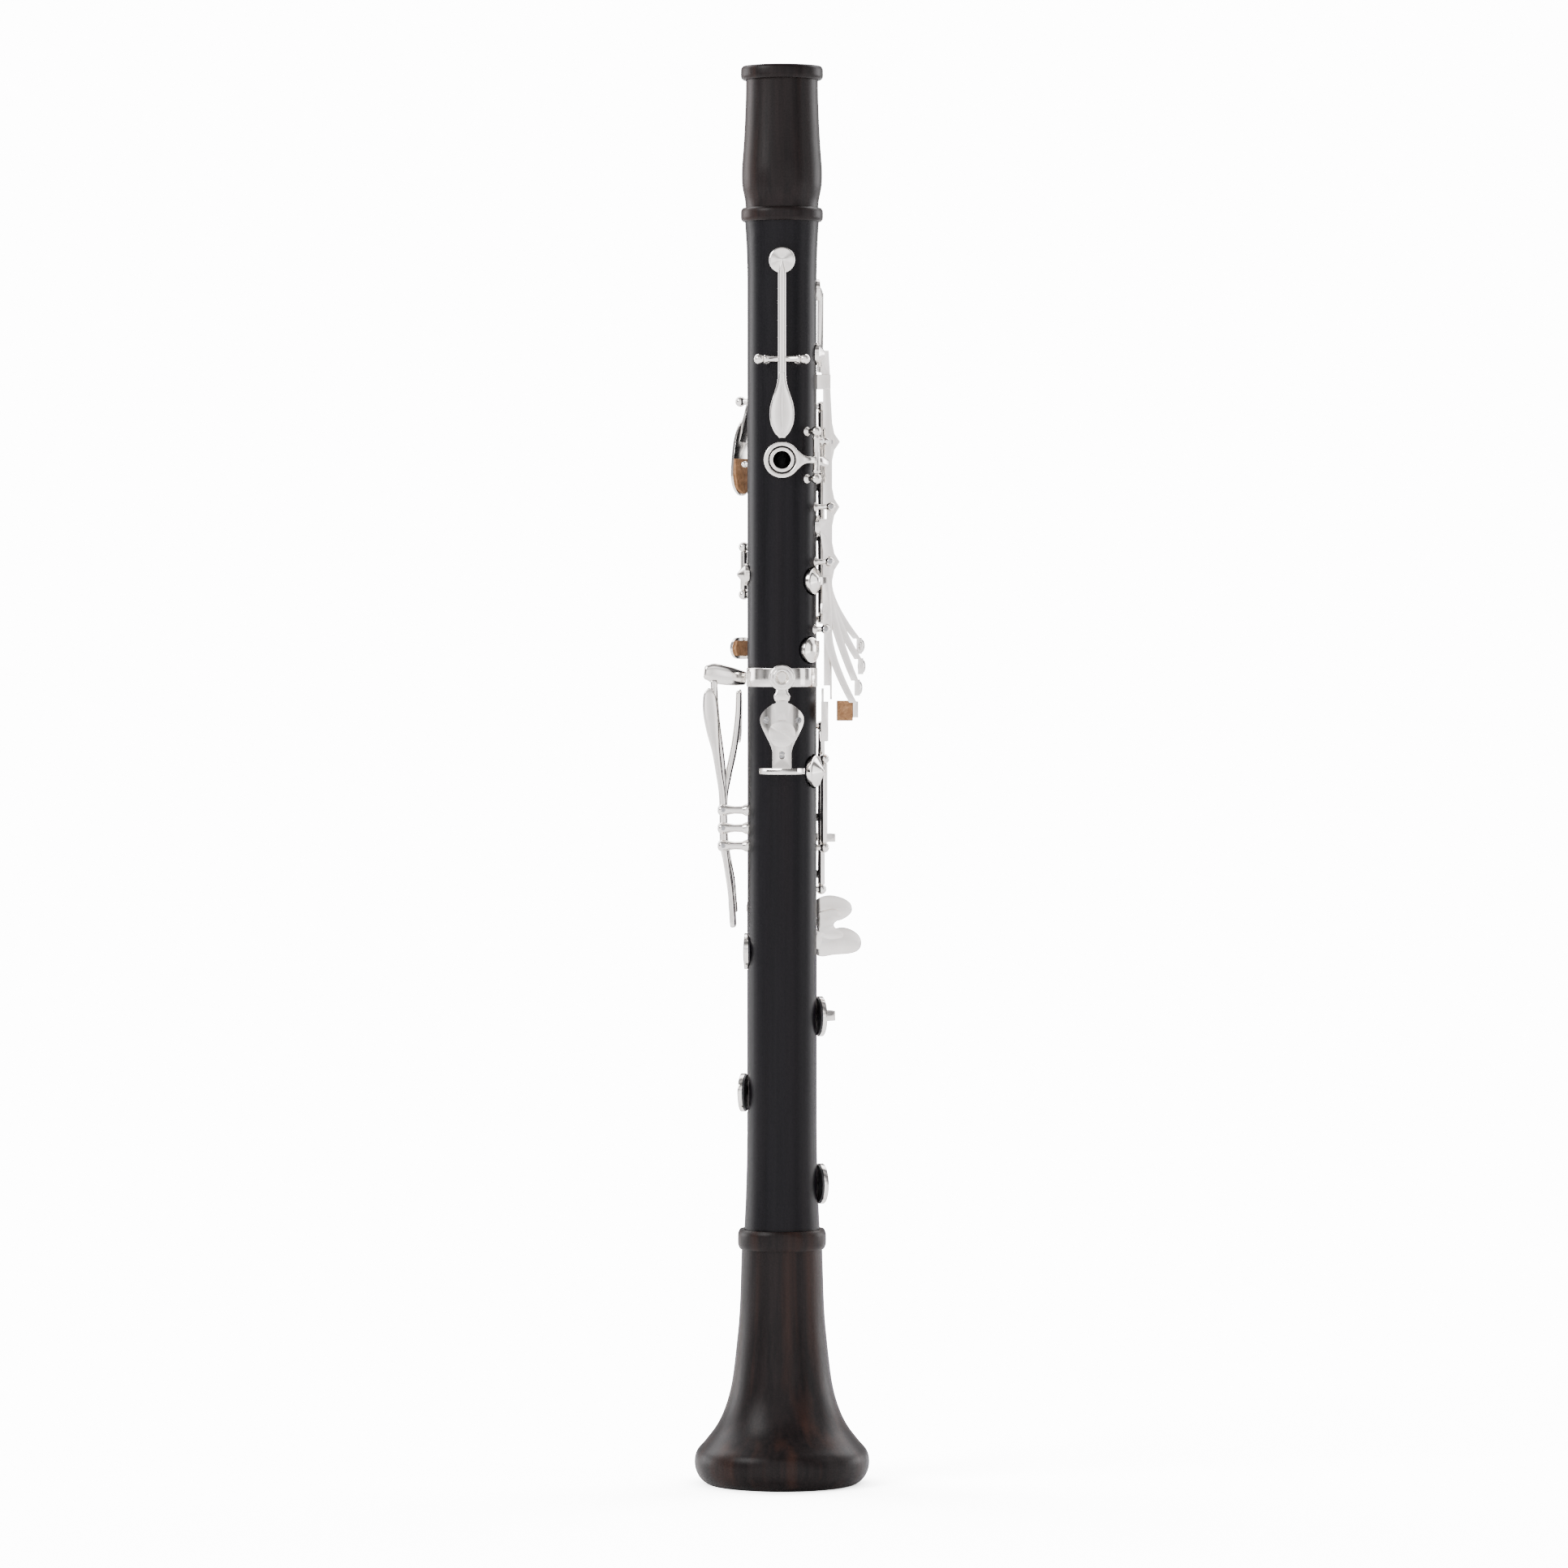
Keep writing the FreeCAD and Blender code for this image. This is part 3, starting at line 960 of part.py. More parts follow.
def make_thumb_rest():
    outline = [(-3.0, 7.0), (-7.0, 4.4), (-9.2, 0.6), (-8.4, -3.0), (-6.0, -8.0), (-3.9, -14.0),
               (-3.2, -17.6), (3.2, -17.6), (3.9, -14.0), (6.0, -8.0), (8.4, -3.0), (9.2, 0.6),
               (7.0, 4.4), (3.0, 7.0)]
    block = plate(smooth(outline), spot(0, 321.2, 10.0), 5.6, "base_plate")
    shell = cylinder(Placement(Vector(0, 0, 300), Rotation()), "body_radius", 32.0)
    outer = cylinder(Placement(Vector(0, 0, 300), Rotation()), size("body_radius") + 1.0, 32.0)
    common = doc.addObject("Part::MultiCommon", "Common")
    common.Shapes = [block, outer]
    ridge = primitive("Box", Placement(Vector(-2.0, -16.6, 309.4), Rotation()), Length=4.0, Width=3.0,
                      Height=19.0)
    base = cut(fuse([common, ridge]), [shell])
    heads = []
    for x, z in ((-6.0, 321.2), (6.4, 321.2), (0.0, THIRD_SCREW_Z)):
        phi = math.degrees(math.asin(x / size("body_radius")))
        heads.append(cylinder(spot(phi, z, size("body_radius") + 1.0), "screw_head_radius", 0.35))
    bundle = doc.addObject("Part::Compound", "screws")
    bundle.Links = heads
    finish(base, "thumb_rest_plate")
    finish(bundle, "thumb_rest_wood_screws")
    slide = [primitive("Box", Placement(Vector(-3.95, -18.4, 301.0), Rotation()), Length=7.9, Width=1.7,
                       Height=27.0),
             bar(Vector(0, -17.6, 327.0), Vector(0, -17.6, 335.0), Vector(1, 0, 0), 5.0, 1.6)]
    strap_ring = primitive("Torus", spot(0, 339.0, 17.6), Radius1=3.95, Radius2=1.55)
    half = [(-9.5, 0), (-9.5, 2.0), (-6.5, 7.6), (0, 10.4), (6.5, 7.6), (9.5, 2.0), (9.5, 0)]
    place = Placement(Vector(0, -17.0, 298.8), Rotation(Vector(1, 0, 0), 180))
    shelf = plate(corners(half), place, -2.4, "shelf")
    lock_z = 315.6
    lock_hole = cylinder(spot(0, lock_z, 15.0), 1.3, 6.0)
    oval = [cylinder(spot(0, THIRD_SCREW_Z + shift, 15.0), 1.15, 6.0) for shift in (-0.6, 0.6)]
    finish(cut(fuse(slide + [strap_ring, shelf]), [lock_hole] + oval), "thumb_rest_slide")
    lock = fuse([cylinder(spot(0, lock_z, 18.5), "lock_disc_radius", 2.2),
                 cylinder(spot(0, lock_z, 16.7), 1.25, 2.2)])
    slot_turn = Placement(Vector(), Rotation(UP, -32))
    slot_place = spot(0, lock_z, 19.9) * slot_turn * Placement(Vector(-7, -0.45, 0), Rotation())
    slot = primitive("Box", slot_place, Length=14.0, Width=0.9, Height=1.2)
    finish(cut(lock, [slot]), "thumb_rest_lock_screw")


# ---------------------------------------------------------------- assembly
make_bell()
make_barrel()
cork_grooves = tenon_corks()
make_upper_joint(cork_grooves)
make_lower_joint(cork_grooves)
make_vent_tubes()
for pad_name in PADS:
    make_pad(pad_name)
make_register_key()
make_thumb_ring_key()
make_throat_a_key()
make_throat_g_sharp_key()
make_left_ring_key()
make_c_sharp_g_sharp_key()
make_left_sliver_key()
make_side_keys()
make_trill_key_guide()
make_right_ring_key()
make_right_sliver_key()
make_f_sharp_c_sharp_key()
make_e_b_key()
make_f_c_touch_lever()
make_f_c_key()
make_ab_eb_key()
make_left_levers()
make_thumb_rest()
make_left_ball()
make_posts_and_rods()
doc.recompute()

for obj in doc.Objects:
    if "Invalid" in obj.State or "Error" in obj.State:
        raise RuntimeError(f"{obj.Name} ({obj.Label}) did not compute: {obj.State}")
for obj in parts:
    if obj.Shape.isNull() or not obj.Shape.isValid() or not obj.Shape.Solids:
        raise RuntimeError(f"{obj.Label} has no valid solid")
    for solid in obj.Shape.Solids:
        if solid.Volume <= 0 or not solid.BoundBox.isInside(solid.CenterOfMass):
            raise RuntimeError(f"{obj.Label} has a solid that is inside out")

os.makedirs("parts", exist_ok=True)
for obj in parts:
    obj.Shape.exportStep(f"parts/{obj.Label}.step")
    print(f"{obj.Label}: {len(obj.Shape.Solids)} solids, {obj.Shape.Volume:.1f} mm3")
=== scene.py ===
import json
import math

import bmesh
import bpy
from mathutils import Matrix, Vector


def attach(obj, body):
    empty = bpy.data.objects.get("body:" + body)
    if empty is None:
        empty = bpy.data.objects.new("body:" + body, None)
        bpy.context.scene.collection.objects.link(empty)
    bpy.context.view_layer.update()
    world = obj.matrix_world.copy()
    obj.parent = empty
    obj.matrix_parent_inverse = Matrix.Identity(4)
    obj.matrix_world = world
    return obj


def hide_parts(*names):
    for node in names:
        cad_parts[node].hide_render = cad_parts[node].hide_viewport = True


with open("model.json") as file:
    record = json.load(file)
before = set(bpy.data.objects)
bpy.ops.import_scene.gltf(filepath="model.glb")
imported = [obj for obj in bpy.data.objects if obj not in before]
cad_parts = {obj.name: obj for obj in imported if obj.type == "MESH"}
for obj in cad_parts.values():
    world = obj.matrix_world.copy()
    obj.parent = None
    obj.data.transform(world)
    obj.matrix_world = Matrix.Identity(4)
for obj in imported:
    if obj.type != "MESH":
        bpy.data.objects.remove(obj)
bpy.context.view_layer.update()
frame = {"nodes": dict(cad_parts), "record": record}

MM = 0.001
ACROSS, DEEP, UPWARD = (1, 0, 0), (0, 1, 0), (0, 0, 1)
NODES = frame["nodes"]


# ---------------------------------------------------------------- helpers
def mm(x, y, z):
    """A point given in millimetres."""
    return Vector((x, y, z)) * MM


def fill_ramp(ramp, stops):
    """Set a colour ramp; each stop is (place, colour), and a plain number is a grey."""
    elements = ramp.elements
    while len(elements) < len(stops):
        elements.new(0.5)
    for element, (place, colour) in zip(elements, stops):
        element.position = place
        grey = isinstance(colour, (int, float))
        element.color = (colour, colour, colour, 1) if grey else (*colour, 1)


# ---------------------------------------------------------------- materials
class Nodes:
    """A short way to write a node material."""

    def __init__(self, name):
        self.material = bpy.data.materials.new(name)
        self.material.use_nodes = True
        self.tree = self.material.node_tree
        self.shader = self.tree.nodes["Principled BSDF"]
        self.coords = self.tree.nodes.new("ShaderNodeTexCoord").outputs["Object"]

    def add(self, kind, values=None, **links):
        node = self.tree.nodes.new("ShaderNode" + kind)
        for key, value in (values or {}).items():
            if isinstance(key, str) and hasattr(node, key):
                setattr(node, key, value)
            else:
                node.inputs[key].default_value = value
        for key, source in links.items():
            self.tree.links.new(source, node.inputs[key.replace("_", " ")])
        return node

    def stretched(self, x, y, z):
        """Object coordinates scaled along each axis."""
        return self.add("Mapping", {"Scale": (x, y, z)}, Vector=self.coords).outputs["Vector"]

    def noise(self, vector, scale, detail=4.0, roughness=0.5):
        values = {"Scale": scale, "Detail": detail, "Roughness": roughness}
        return self.add("TexNoise", values, Vector=vector).outputs["Fac"]

    def cells(self, vector, scale):
        return self.add("TexVoronoi", {"Scale": scale}, Vector=vector).outputs["Distance"]

    def ramp(self, source, stops):
        node = self.add("ValToRGB", None, Fac=source)
        fill_ramp(node.color_ramp, stops)
        return node.outputs["Color"]

    def mixed(self, share, first, second):
        """A mix of two colours; the share and the colours are values or sockets."""
        node = self.tree.nodes.new("ShaderNodeMix")
        node.data_type = "RGBA"
        sockets = node.inputs[0], node.inputs[6], node.inputs[7]
        for socket, value in zip(sockets, (share, first, second)):
            if isinstance(value, bpy.types.NodeSocket):
                self.tree.links.new(value, socket)
            else:
                socket.default_value = value if isinstance(value, float) else (*value, 1)
        return node.outputs[2]

    def bump(self, height, distance, strength=1.0):
        values = {"Distance": distance, "Strength": strength}
        normal = self.add("Bump", values, Height=height).outputs["Normal"]
        self.tree.links.new(normal, self.shader.inputs["Normal"])

    def plug(self, name, source):
        self.tree.links.new(source, self.shader.inputs[name])

    def set(self, **values):
        for key, value in values.items():
            self.shader.inputs[key.replace("_", " ")].default_value = value


def wood(name, dark, middle, streak, streak_amount):
    """Oiled hardwood: long grain, open pores along it and slow changes of tone."""
    n = Nodes(name)
    grain = n.noise(n.stretched(420, 420, 9), 1.0, 6.0, 0.62)
    broad = n.noise(n.stretched(110, 110, 5), 1.0, 3.0, 0.5)
    fine = n.noise(n.stretched(2600, 2600, 60), 1.0, 3.0, 0.6)
    tone = n.ramp(grain, [(0.36, dark), (0.66, middle)])
    reddish = n.ramp(broad, [(0.50, 0.0), (0.72, streak_amount)])
    colour = n.mixed(reddish, tone, streak)
    n.plug("Base Color", colour)
    n.plug("Roughness", n.ramp(fine, [(0.3, 0.30), (0.7, 0.41)]))
    pores = n.cells(n.stretched(2300, 2300, 210), 1.0)
    open_pores = n.ramp(pores, [(0.03, 0.0), (0.20, 1.0)])
    fibres = n.ramp(fine, [(0.2, 0.0), (0.8, 1.0)])
    n.bump(n.mixed(0.45, open_pores, fibres), 0.00004, 0.55)
    n.set(Specular_IOR_Level=0.14)
    return n.material


def silver(name):
    """Silver plate: bright, with faint polishing marks and softly tarnished patches."""
    n = Nodes(name)
    cloud = n.noise(n.coords, 130.0, 3.0, 0.5)
    marks = n.noise(n.stretched(5200, 5200, 700), 1.0, 2.0, 0.5)
    n.plug("Base Color", n.ramp(cloud, [(0.30, (0.87, 0.83, 0.785)), (0.70, (0.96, 0.93, 0.895))]))
    n.plug("Roughness", n.ramp(n.mixed(0.5, cloud, marks), [(0.35, 0.07), (0.68, 0.15)]))
    n.bump(marks, 0.000012, 0.35)
    n.set(Metallic=1.0)
    return n.material


def steel(name):
    """Drawn steel with fine turning marks."""
    n = Nodes(name)
    marks = n.noise(n.stretched(900, 900, 9000), 1.0, 2.0, 0.5)
    n.plug("Base Color", n.ramp(marks, [(0.3, (0.30, 0.30, 0.31)), (0.7, (0.44, 0.44, 0.45))]))
    n.plug("Roughness", n.ramp(marks, [(0.3, 0.24), (0.7, 0.36)]))
    n.bump(marks, 0.00001, 0.4)
    n.set(Metallic=1.0)
    return n.material


def pad_skin(name):
    """Black pad skin with a fine leather grain."""
    n = Nodes(name)
    grain = n.cells(n.coords, 2600.0)
    cloud = n.noise(n.coords, 300.0, 3.0, 0.5)
    n.plug("Base Color", n.ramp(cloud, [(0.3, (0.009, 0.009, 0.011)), (0.7, (0.026, 0.025, 0.029))]))
    n.plug("Roughness", n.ramp(grain, [(0.1, 0.58), (0.6, 0.40)]))
    n.bump(grain, 0.00003, 0.5)
    return n.material


def cork(name):
    """Natural cork: tan cells with dark pores and specks."""
    n = Nodes(name)
    cells = n.cells(n.coords, 1500.0)
    cloud = n.noise(n.coords, 520.0, 5.0, 0.65)
    specks = n.noise(n.stretched(900, 1700, 900), 1.0, 4.0, 0.7)
    tone = n.ramp(cloud, [(0.30, (0.22, 0.100, 0.040)), (0.55, (0.36, 0.180, 0.078)),
                          (0.75, (0.48, 0.265, 0.13))])
    dark = n.ramp(specks, [(0.60, 0.0), (0.70, 0.8)])
    n.plug("Base Color", n.mixed(dark, tone, (0.13, 0.055, 0.025)))
    n.plug("Roughness", n.ramp(cloud, [(0.3, 0.9), (0.7, 0.74)]))
    cell_walls = n.ramp(cells, [(0.05, 0.0), (0.5, 1.0)])
    pits = n.ramp(specks, [(0.5, 1.0), (0.7, 0.0)])
    n.bump(n.mixed(0.5, cell_walls, pits), 0.00012, 0.6)
    return n.material


MATERIALS = {
    "streaked_wood": wood("streaked_wood", dark=(0.0055, 0.0038, 0.0040), middle=(0.012, 0.0078, 0.0078),
                          streak=(0.034, 0.0150, 0.0110), streak_amount=0.7),
    "wood": wood("wood", dark=(0.0026, 0.0021, 0.0032), middle=(0.0050, 0.0040, 0.0058),
                 streak=(0.0085, 0.0048, 0.0058), streak_amount=0.35),
    "silver_plate": silver("silver_plate"),
    "steel": steel("steel"),
    "pad": pad_skin("pad"),
    "cork": cork("cork"),
}
SLOT_OF = {part["node"]: part["material_slot"] for part in frame["record"]["subparts"]}


def dress(obj, slot):
    """Give an object the one material of a slot."""
    obj.data.materials.clear()
    obj.data.materials.append(MATERIALS[slot])


# widths of the rounded edges in millimetres, by slot, and of the nodes that differ from their slot
EDGE_WIDTH = {"silver_plate": 0.22, "steel": 0.12, "pad": 0.45, "cork": 0.3}
ROUNDER = {"thumb_rest_slide": 0.6, "thumb_rest_lock_screw": 0.35, "socket_band": 0.3}
SEAM = 0.004            # points nearer than this are joined, in millimetres
EDGE_STEPS = 3
SHARP_DEGREES = 32.0    # edges that turn more than this are rounded


def soften(obj, width):
    """Close the mesh at its seams and round its edges, as a polished piece has them."""
    weld = obj.modifiers.new("weld", "WELD")
    weld.merge_threshold = SEAM * MM
    bevel = obj.modifiers.new("bevel", "BEVEL")
    bevel.width = width * MM
    bevel.segments = EDGE_STEPS
    bevel.limit_method = "ANGLE"
    bevel.angle_limit = math.radians(SHARP_DEGREES)
    bevel.harden_normals = False
    bevel.use_clamp_overlap = True
    for polygon in obj.data.polygons:
        polygon.use_smooth = True


for node_name, node in NODES.items():
    slot_name = SLOT_OF[node_name]
    dress(node, slot_name)
    if slot_name in EDGE_WIDTH:
        soften(node, ROUNDER.get(node_name, EDGE_WIDTH[slot_name]))


# ---------------------------------------------------------------- mesh tools, in millimetres
BAR_STEPS = 7                                # sections from one row of a bar to the next
ROUND_END = (0.0, 0.5, 0.9, 1.25, 1.45)      # angles of the sections that round off a bar's end
THINNEST, TIP = 0.05, 0.04                   # least size of a bar and of its tip
BAR_SIDES, HOOP_SIDES, HOOP_STEPS = 24, 16, 64      # points round a section, sections round a hoop
FACE_SIDES = 12                              # faces with this many sides or more are flat ends


def smooth_rows(rows, steps):
    """Rows of numbers with smooth rows in between (Catmull-Rom)."""
    result = []
    for i in range(len(rows) - 1):
        before, start = rows[max(i - 1, 0)], rows[i]
        end, after = rows[i + 1], rows[min(i + 2, len(rows) - 1)]
        for step in range(steps):
            t = step / steps
            result.append([0.5 * (2 * q + (r - p) * t + (2 * p - 5 * q + 4 * r - w) * t * t
                                  + (3 * q - p - 3 * r + w) * t ** 3)
                           for p, q, r, w in zip(before, start, end, after)])
    return result + [list(rows[-1])]


def section(centre, flat, normal, width, thickness, power, count=BAR_SIDES):
    """A rounded section: power 2 is an ellipse, a larger power is squarer."""
    loop = []
    for i in range(count):
        turn = 2 * math.pi * i / count
        c, s = math.cos(turn), math.sin(turn)
        across = math.copysign(abs(c) ** (2 / power), c) * width / 2
        up = math.copysign(abs(s) ** (2 / power), s) * thickness / 2
        loop.append(centre + flat * across + normal * up)
    return loop


def loft(builder, loops):
    """Skin a run of closed loops and cap both ends."""
    rows = [[builder.verts.new(p) for p in loop] for loop in loops]
    for first, second in zip(rows, rows[1:]):
        for i in range(len(first)):
            j = (i + 1) % len(first)
            builder.faces.new((first[i], first[j], second[j], second[i]))
    builder.faces.new(rows[0][::-1])
    builder.faces.new(rows[-1])


def forged(builder, rows, side, power):
    """A forged bar with rounded ends: each row is x, y, z, width along side, thickness."""
    line = smooth_rows(rows, BAR_STEPS)
    spots = [Vector(row[:3]) for row in line]
    last = len(line) - 1
    loops = []
    for i, row in enumerate(line):
        run = (spots[min(i + 1, last)] - spots[max(i - 1, 0)]).normalized()
        flat = (Vector(side) - run * run.dot(Vector(side))).normalized()
        normal = run.cross(flat)
        width, thickness = max(row[3], THINNEST), max(row[4], THINNEST)
        here = [(0.0, 1.0)]
        if i in (0, last):
            sign = -1 if i == 0 else 1
            here = [(sign * math.sin(a), math.cos(a)) for a in ROUND_END]
            here = here[::-1] if i == 0 else here
        reach = min(width, thickness) / 2
        for out, share in here:
            inset = reach * (1 - share)
            loops.append(section(spots[i] + run * out * reach, flat, normal,
                                 max(width - 2 * inset, TIP), max(thickness - 2 * inset, TIP), power))
    loft(builder, loops)


def lathe(builder, profile, base, axis, count=40):
    """A solid turned about axis: each profile row is distance along it, radius."""
    along = Vector(axis).normalized()
    side = along.orthogonal().normalized()
    other = along.cross(side)
    loops = []
    for distance, radius in profile:
        centre = Vector(base) + along * distance
        loops.append(section(centre, side, other, 2 * max(radius, 0.01), 2 * max(radius, 0.01), 2, count))
    loft(builder, loops)


def hoop(builder, centre, axis, inner, outer, thickness, power=3.0):
    """A flat ring with rounded edges."""
    along = Vector(axis).normalized()
    side = along.orthogonal().normalized()
    rows = []
    for i in range(HOOP_STEPS):
        turn = 2 * math.pi * i / HOOP_STEPS
        out = side * math.cos(turn) + along.cross(side) * math.sin(turn)
        middle = Vector(centre) + out * (inner + outer) / 2
        loop = section(middle, out, along, outer - inner, thickness, power, HOOP_SIDES)
        rows.append([builder.verts.new(p) for p in loop])
    for i, first in enumerate(rows):
        second = rows[(i + 1) % HOOP_STEPS]
        for j in range(HOOP_SIDES):
            k = (j + 1) % HOOP_SIDES
            builder.faces.new((first[j], first[k], second[k], second[j]))


def piece(name, body, slot, builder, replaced=()):
    """Turn a builder into a finished piece that rides on a body."""
    bmesh.ops.recalc_face_normals(builder, faces=builder.faces)
    bmesh.ops.scale(builder, vec=(MM, MM, MM), verts=builder.verts)
    mesh = bpy.data.meshes.new(name)
    builder.to_mesh(mesh)
    builder.free()
    obj = bpy.data.objects.new(name, mesh)
    bpy.context.scene.collection.objects.link(obj)
    mesh.materials.append(MATERIALS[slot])
    for polygon in mesh.polygons:
        polygon.use_smooth = len(polygon.vertices) < FACE_SIDES
    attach(obj, body)
    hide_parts(*replaced)
    return obj


# ---------------------------------------------------------------- forged and turned pieces
# A bar's rows are x, y, z, width and thickness; a turned profile's rows are distance and radius.
THUMB_SIDE = (0, -1, 0)

REGISTER_CUP_BASE = (0, -16.75, 513.1)
REGISTER_CUP = [(0, 5.1), (0.2, 5.4), (1.3, 5.45), (1.62, 5.25), (1.75, 4.85), (2.1, 3.5),
                (2.55, 1.8), (2.85, 0.9), (2.95, 0.01)]
REGISTER_ARM = [(0, -18.9, 464, 3.4, 1.8), (0, -19.15, 471.9, 3.3, 1.8), (0, -18.9, 484, 3.25, 1.8),
                (0, -18.95, 500, 3.25, 1.8), (0, -19.1, 507.2, 3.2, 1.7), (0, -19.3, 510.4, 2.0, 1.2),
                (0, -19.45, 513.4, 0.4, 0.5)]
REGISTER_TUBE_BASE = (-7.5, -18.27, 471.9)
REGISTER_TUBE = [(0, 1.5), (0.2, 1.72), (1.3, 1.72), (1.5, 1.35), (13.5, 1.35), (13.7, 1.72),
                 (14.8, 1.72), (15, 1.5)]
REGISTER_TOUCH = [(0, -19.1, 466, 3.3, 1.8), (0, -18.95, 462.5, 3.8, 1.7), (0, -18.7, 458.5, 6.0, 1.6),
                  (0, -18.55, 454, 8.9, 1.6), (0, -18.5, 449.5, 10.3, 1.7), (0, -18.5, 445, 9.4, 1.6),
                  (0, -18.6, 441.4, 6.4, 1.4), (0, -18.75, 439.5, 3.0, 1.0)]
REGISTER_RIDGE = [(0, -19.55, 463, 0.7, 0.5), (0, -19.35, 453, 1.2, 0.4), (0, -19.25, 444.5, 0.8, 0.4),
                  (0, -19.2, 441.8, 0.3, 0.3)]


def make_register_key():
    """Pointed lever on the back of the cup, half-round arm, stepped tube and teardrop touch."""
    builder = bmesh.new()
    lathe(builder, REGISTER_CUP, REGISTER_CUP_BASE, THUMB_SIDE, 64)
    forged(builder, REGISTER_ARM, ACROSS, 2.3)
    lathe(builder, REGISTER_TUBE, REGISTER_TUBE_BASE, ACROSS)
    forged(builder, REGISTER_TOUCH, ACROSS, 2.0)
    forged(builder, REGISTER_RIDGE, ACROSS, 2.0)
    piece("register_key_forged", "register_key", "silver_plate", builder, ["register_key"])


THUMB_RING_Y, THUMB_RING_Z = -16.95, 429.9
THUMB_RING_HOLE, THUMB_RING_RADIUS, THUMB_RING_THICKNESS = 5.8, 7.6, 1.5
THUMB_ARM = [(6.5, THUMB_RING_Y, THUMB_RING_Z, 8.2, 1.3), (8.2, THUMB_RING_Y, THUMB_RING_Z, 5.0, 1.3),
             (9.8, -16.7, THUMB_RING_Z, 3.2, 1.4), (12, -15.7, THUMB_RING_Z, 2.7, 1.5),
             (14.4, -13.6, THUMB_RING_Z, 3.2, 1.7)]
THUMB_TUBE_BASE = (14.38, -13.17, 424.4)
THUMB_TUBE = [(0, 1.3), (0.2, 1.6), (1.2, 1.6), (1.4, 1.45), (14.0, 1.45), (14.2, 1.6),
              (15.2, 1.6), (15.4, 1.3)]
THUMB_SCREW_BASE, THUMB_SCREW_AXIS = (14.4, -13.2, 437.8), (1, 0.55, 0)
THUMB_SCREW = [(0, 1.0), (1.7, 1.0), (1.8, 1.5), (2.7, 1.5), (2.8, 0.75), (4.0, 0.75),
               (4.2, 1.3), (5.2, 1.35), (5.8, 0.9), (6.0, 0.01)]
THUMB_LINK = [(14.6, -13.0, THUMB_RING_Z, 3.0, 1.7), (17.0, -10.4, THUMB_RING_Z - 0.6, 3.6, 1.6),
              (19.0, -6.4, THUMB_RING_Z - 1.2, 3.0, 1.4)]


def make_thumb_ring_key():
    """Flat ring, flared arm, vertical tube, adjusting screw and link arm."""
    builder = bmesh.new()
    centre = (0, THUMB_RING_Y, THUMB_RING_Z)
    hoop(builder, centre, THUMB_SIDE, THUMB_RING_HOLE, THUMB_RING_RADIUS, THUMB_RING_THICKNESS)
    forged(builder, THUMB_ARM, UPWARD, 3.0)
    lathe(builder, THUMB_TUBE, THUMB_TUBE_BASE, UPWARD)
    lathe(builder, THUMB_SCREW, THUMB_SCREW_BASE, THUMB_SCREW_AXIS)
    forged(builder, THUMB_LINK, UPWARD, 3.0)
    piece("thumb_ring_key_forged", "thumb_ring_key", "silver_plate", builder, ["thumb_ring_key"])


STRAP_RING_Z = 339.0
STRAP_COLLAR = [(0, -17.8, 330.2, 6.6, 2.2), (0, -17.8, 331.4, 6.9, 2.4), (0, -17.8, 332.6, 5.6, 2.2),
                (0, -17.8, 333.8, 4.6, 2.0)]


def make_strap_ring():
    """The flat ring and collar at the top of the thumb rest's slide."""
    builder = bmesh.new()
    hoop(builder, (0, -17.6, STRAP_RING_Z), THUMB_SIDE, 2.35, 5.5, 3.2, 3.4)
    hoop(builder, (0, -19.0, STRAP_RING_Z), THUMB_SIDE, 2.6, 3.9, 0.9, 2.2)
    forged(builder, STRAP_COLLAR, ACROSS, 3.0)
    piece("strap_ring_turned", "thumb_rest", "silver_plate", builder)


LEVER_ARMS = {
    "left_f_lever": [
        (-30.2, 2.6, 333.9, 2.4, 1.0), (-30.4, 2.6, 331.5, 5.2, 1.5), (-30.0, 2.6, 325, 6.5, 1.7),
        (-29.1, 2.6, 317, 5.6, 1.8), (-27.7, 2.6, 308, 3.6, 1.9), (-26.4, 2.6, 299, 3.0, 1.9),
        (-25.2, 2.6, 291, 3.0, 1.9), (-24.7, 2.6, 283, 3.3, 1.9), (-24.5, 2.6, 269, 3.3, 1.9),
        (-23.4, 2.6, 261, 2.6, 1.8), (-21.6, 2.6, 248, 2.4, 1.6), (-20.6, 2.6, 234.6, 2.4, 1.6)],
    "left_e_lever": [
        (-28.6, 5.0, 337, 3.0, 1.8), (-28.3, 5.0, 329, 3.0, 1.9), (-27.2, 5.0, 317, 3.1, 1.9),
        (-25.6, 5.0, 305, 3.0, 1.9), (-24.8, 5.0, 294, 3.0, 1.9), (-24.6, 5.0, 276, 3.3, 1.9),
        (-23.4, 5.0, 264, 2.8, 1.8), (-21.3, 5.0, 250, 2.2, 1.6), (-20.3, 5.0, 235.2, 2.2, 1.6)],
    "left_f_sharp_lever": [
        (-18.1, 7.9, 332.5, 2.6, 1.7), (-18.5, 7.4, 322, 2.8, 1.9), (-20.2, 7.4, 309, 2.9, 1.9),
        (-22.6, 7.4, 298, 3.0, 1.9), (-24.4, 7.4, 288, 3.2, 1.9), (-24.5, 7.4, 276, 3.2, 1.9),
        (-23.2, 7.4, 265, 2.8, 1.8), (-20.9, 7.4, 254, 2.2, 1.6), (-19.8, 7.4, 240.8, 2.2, 1.6)],
}
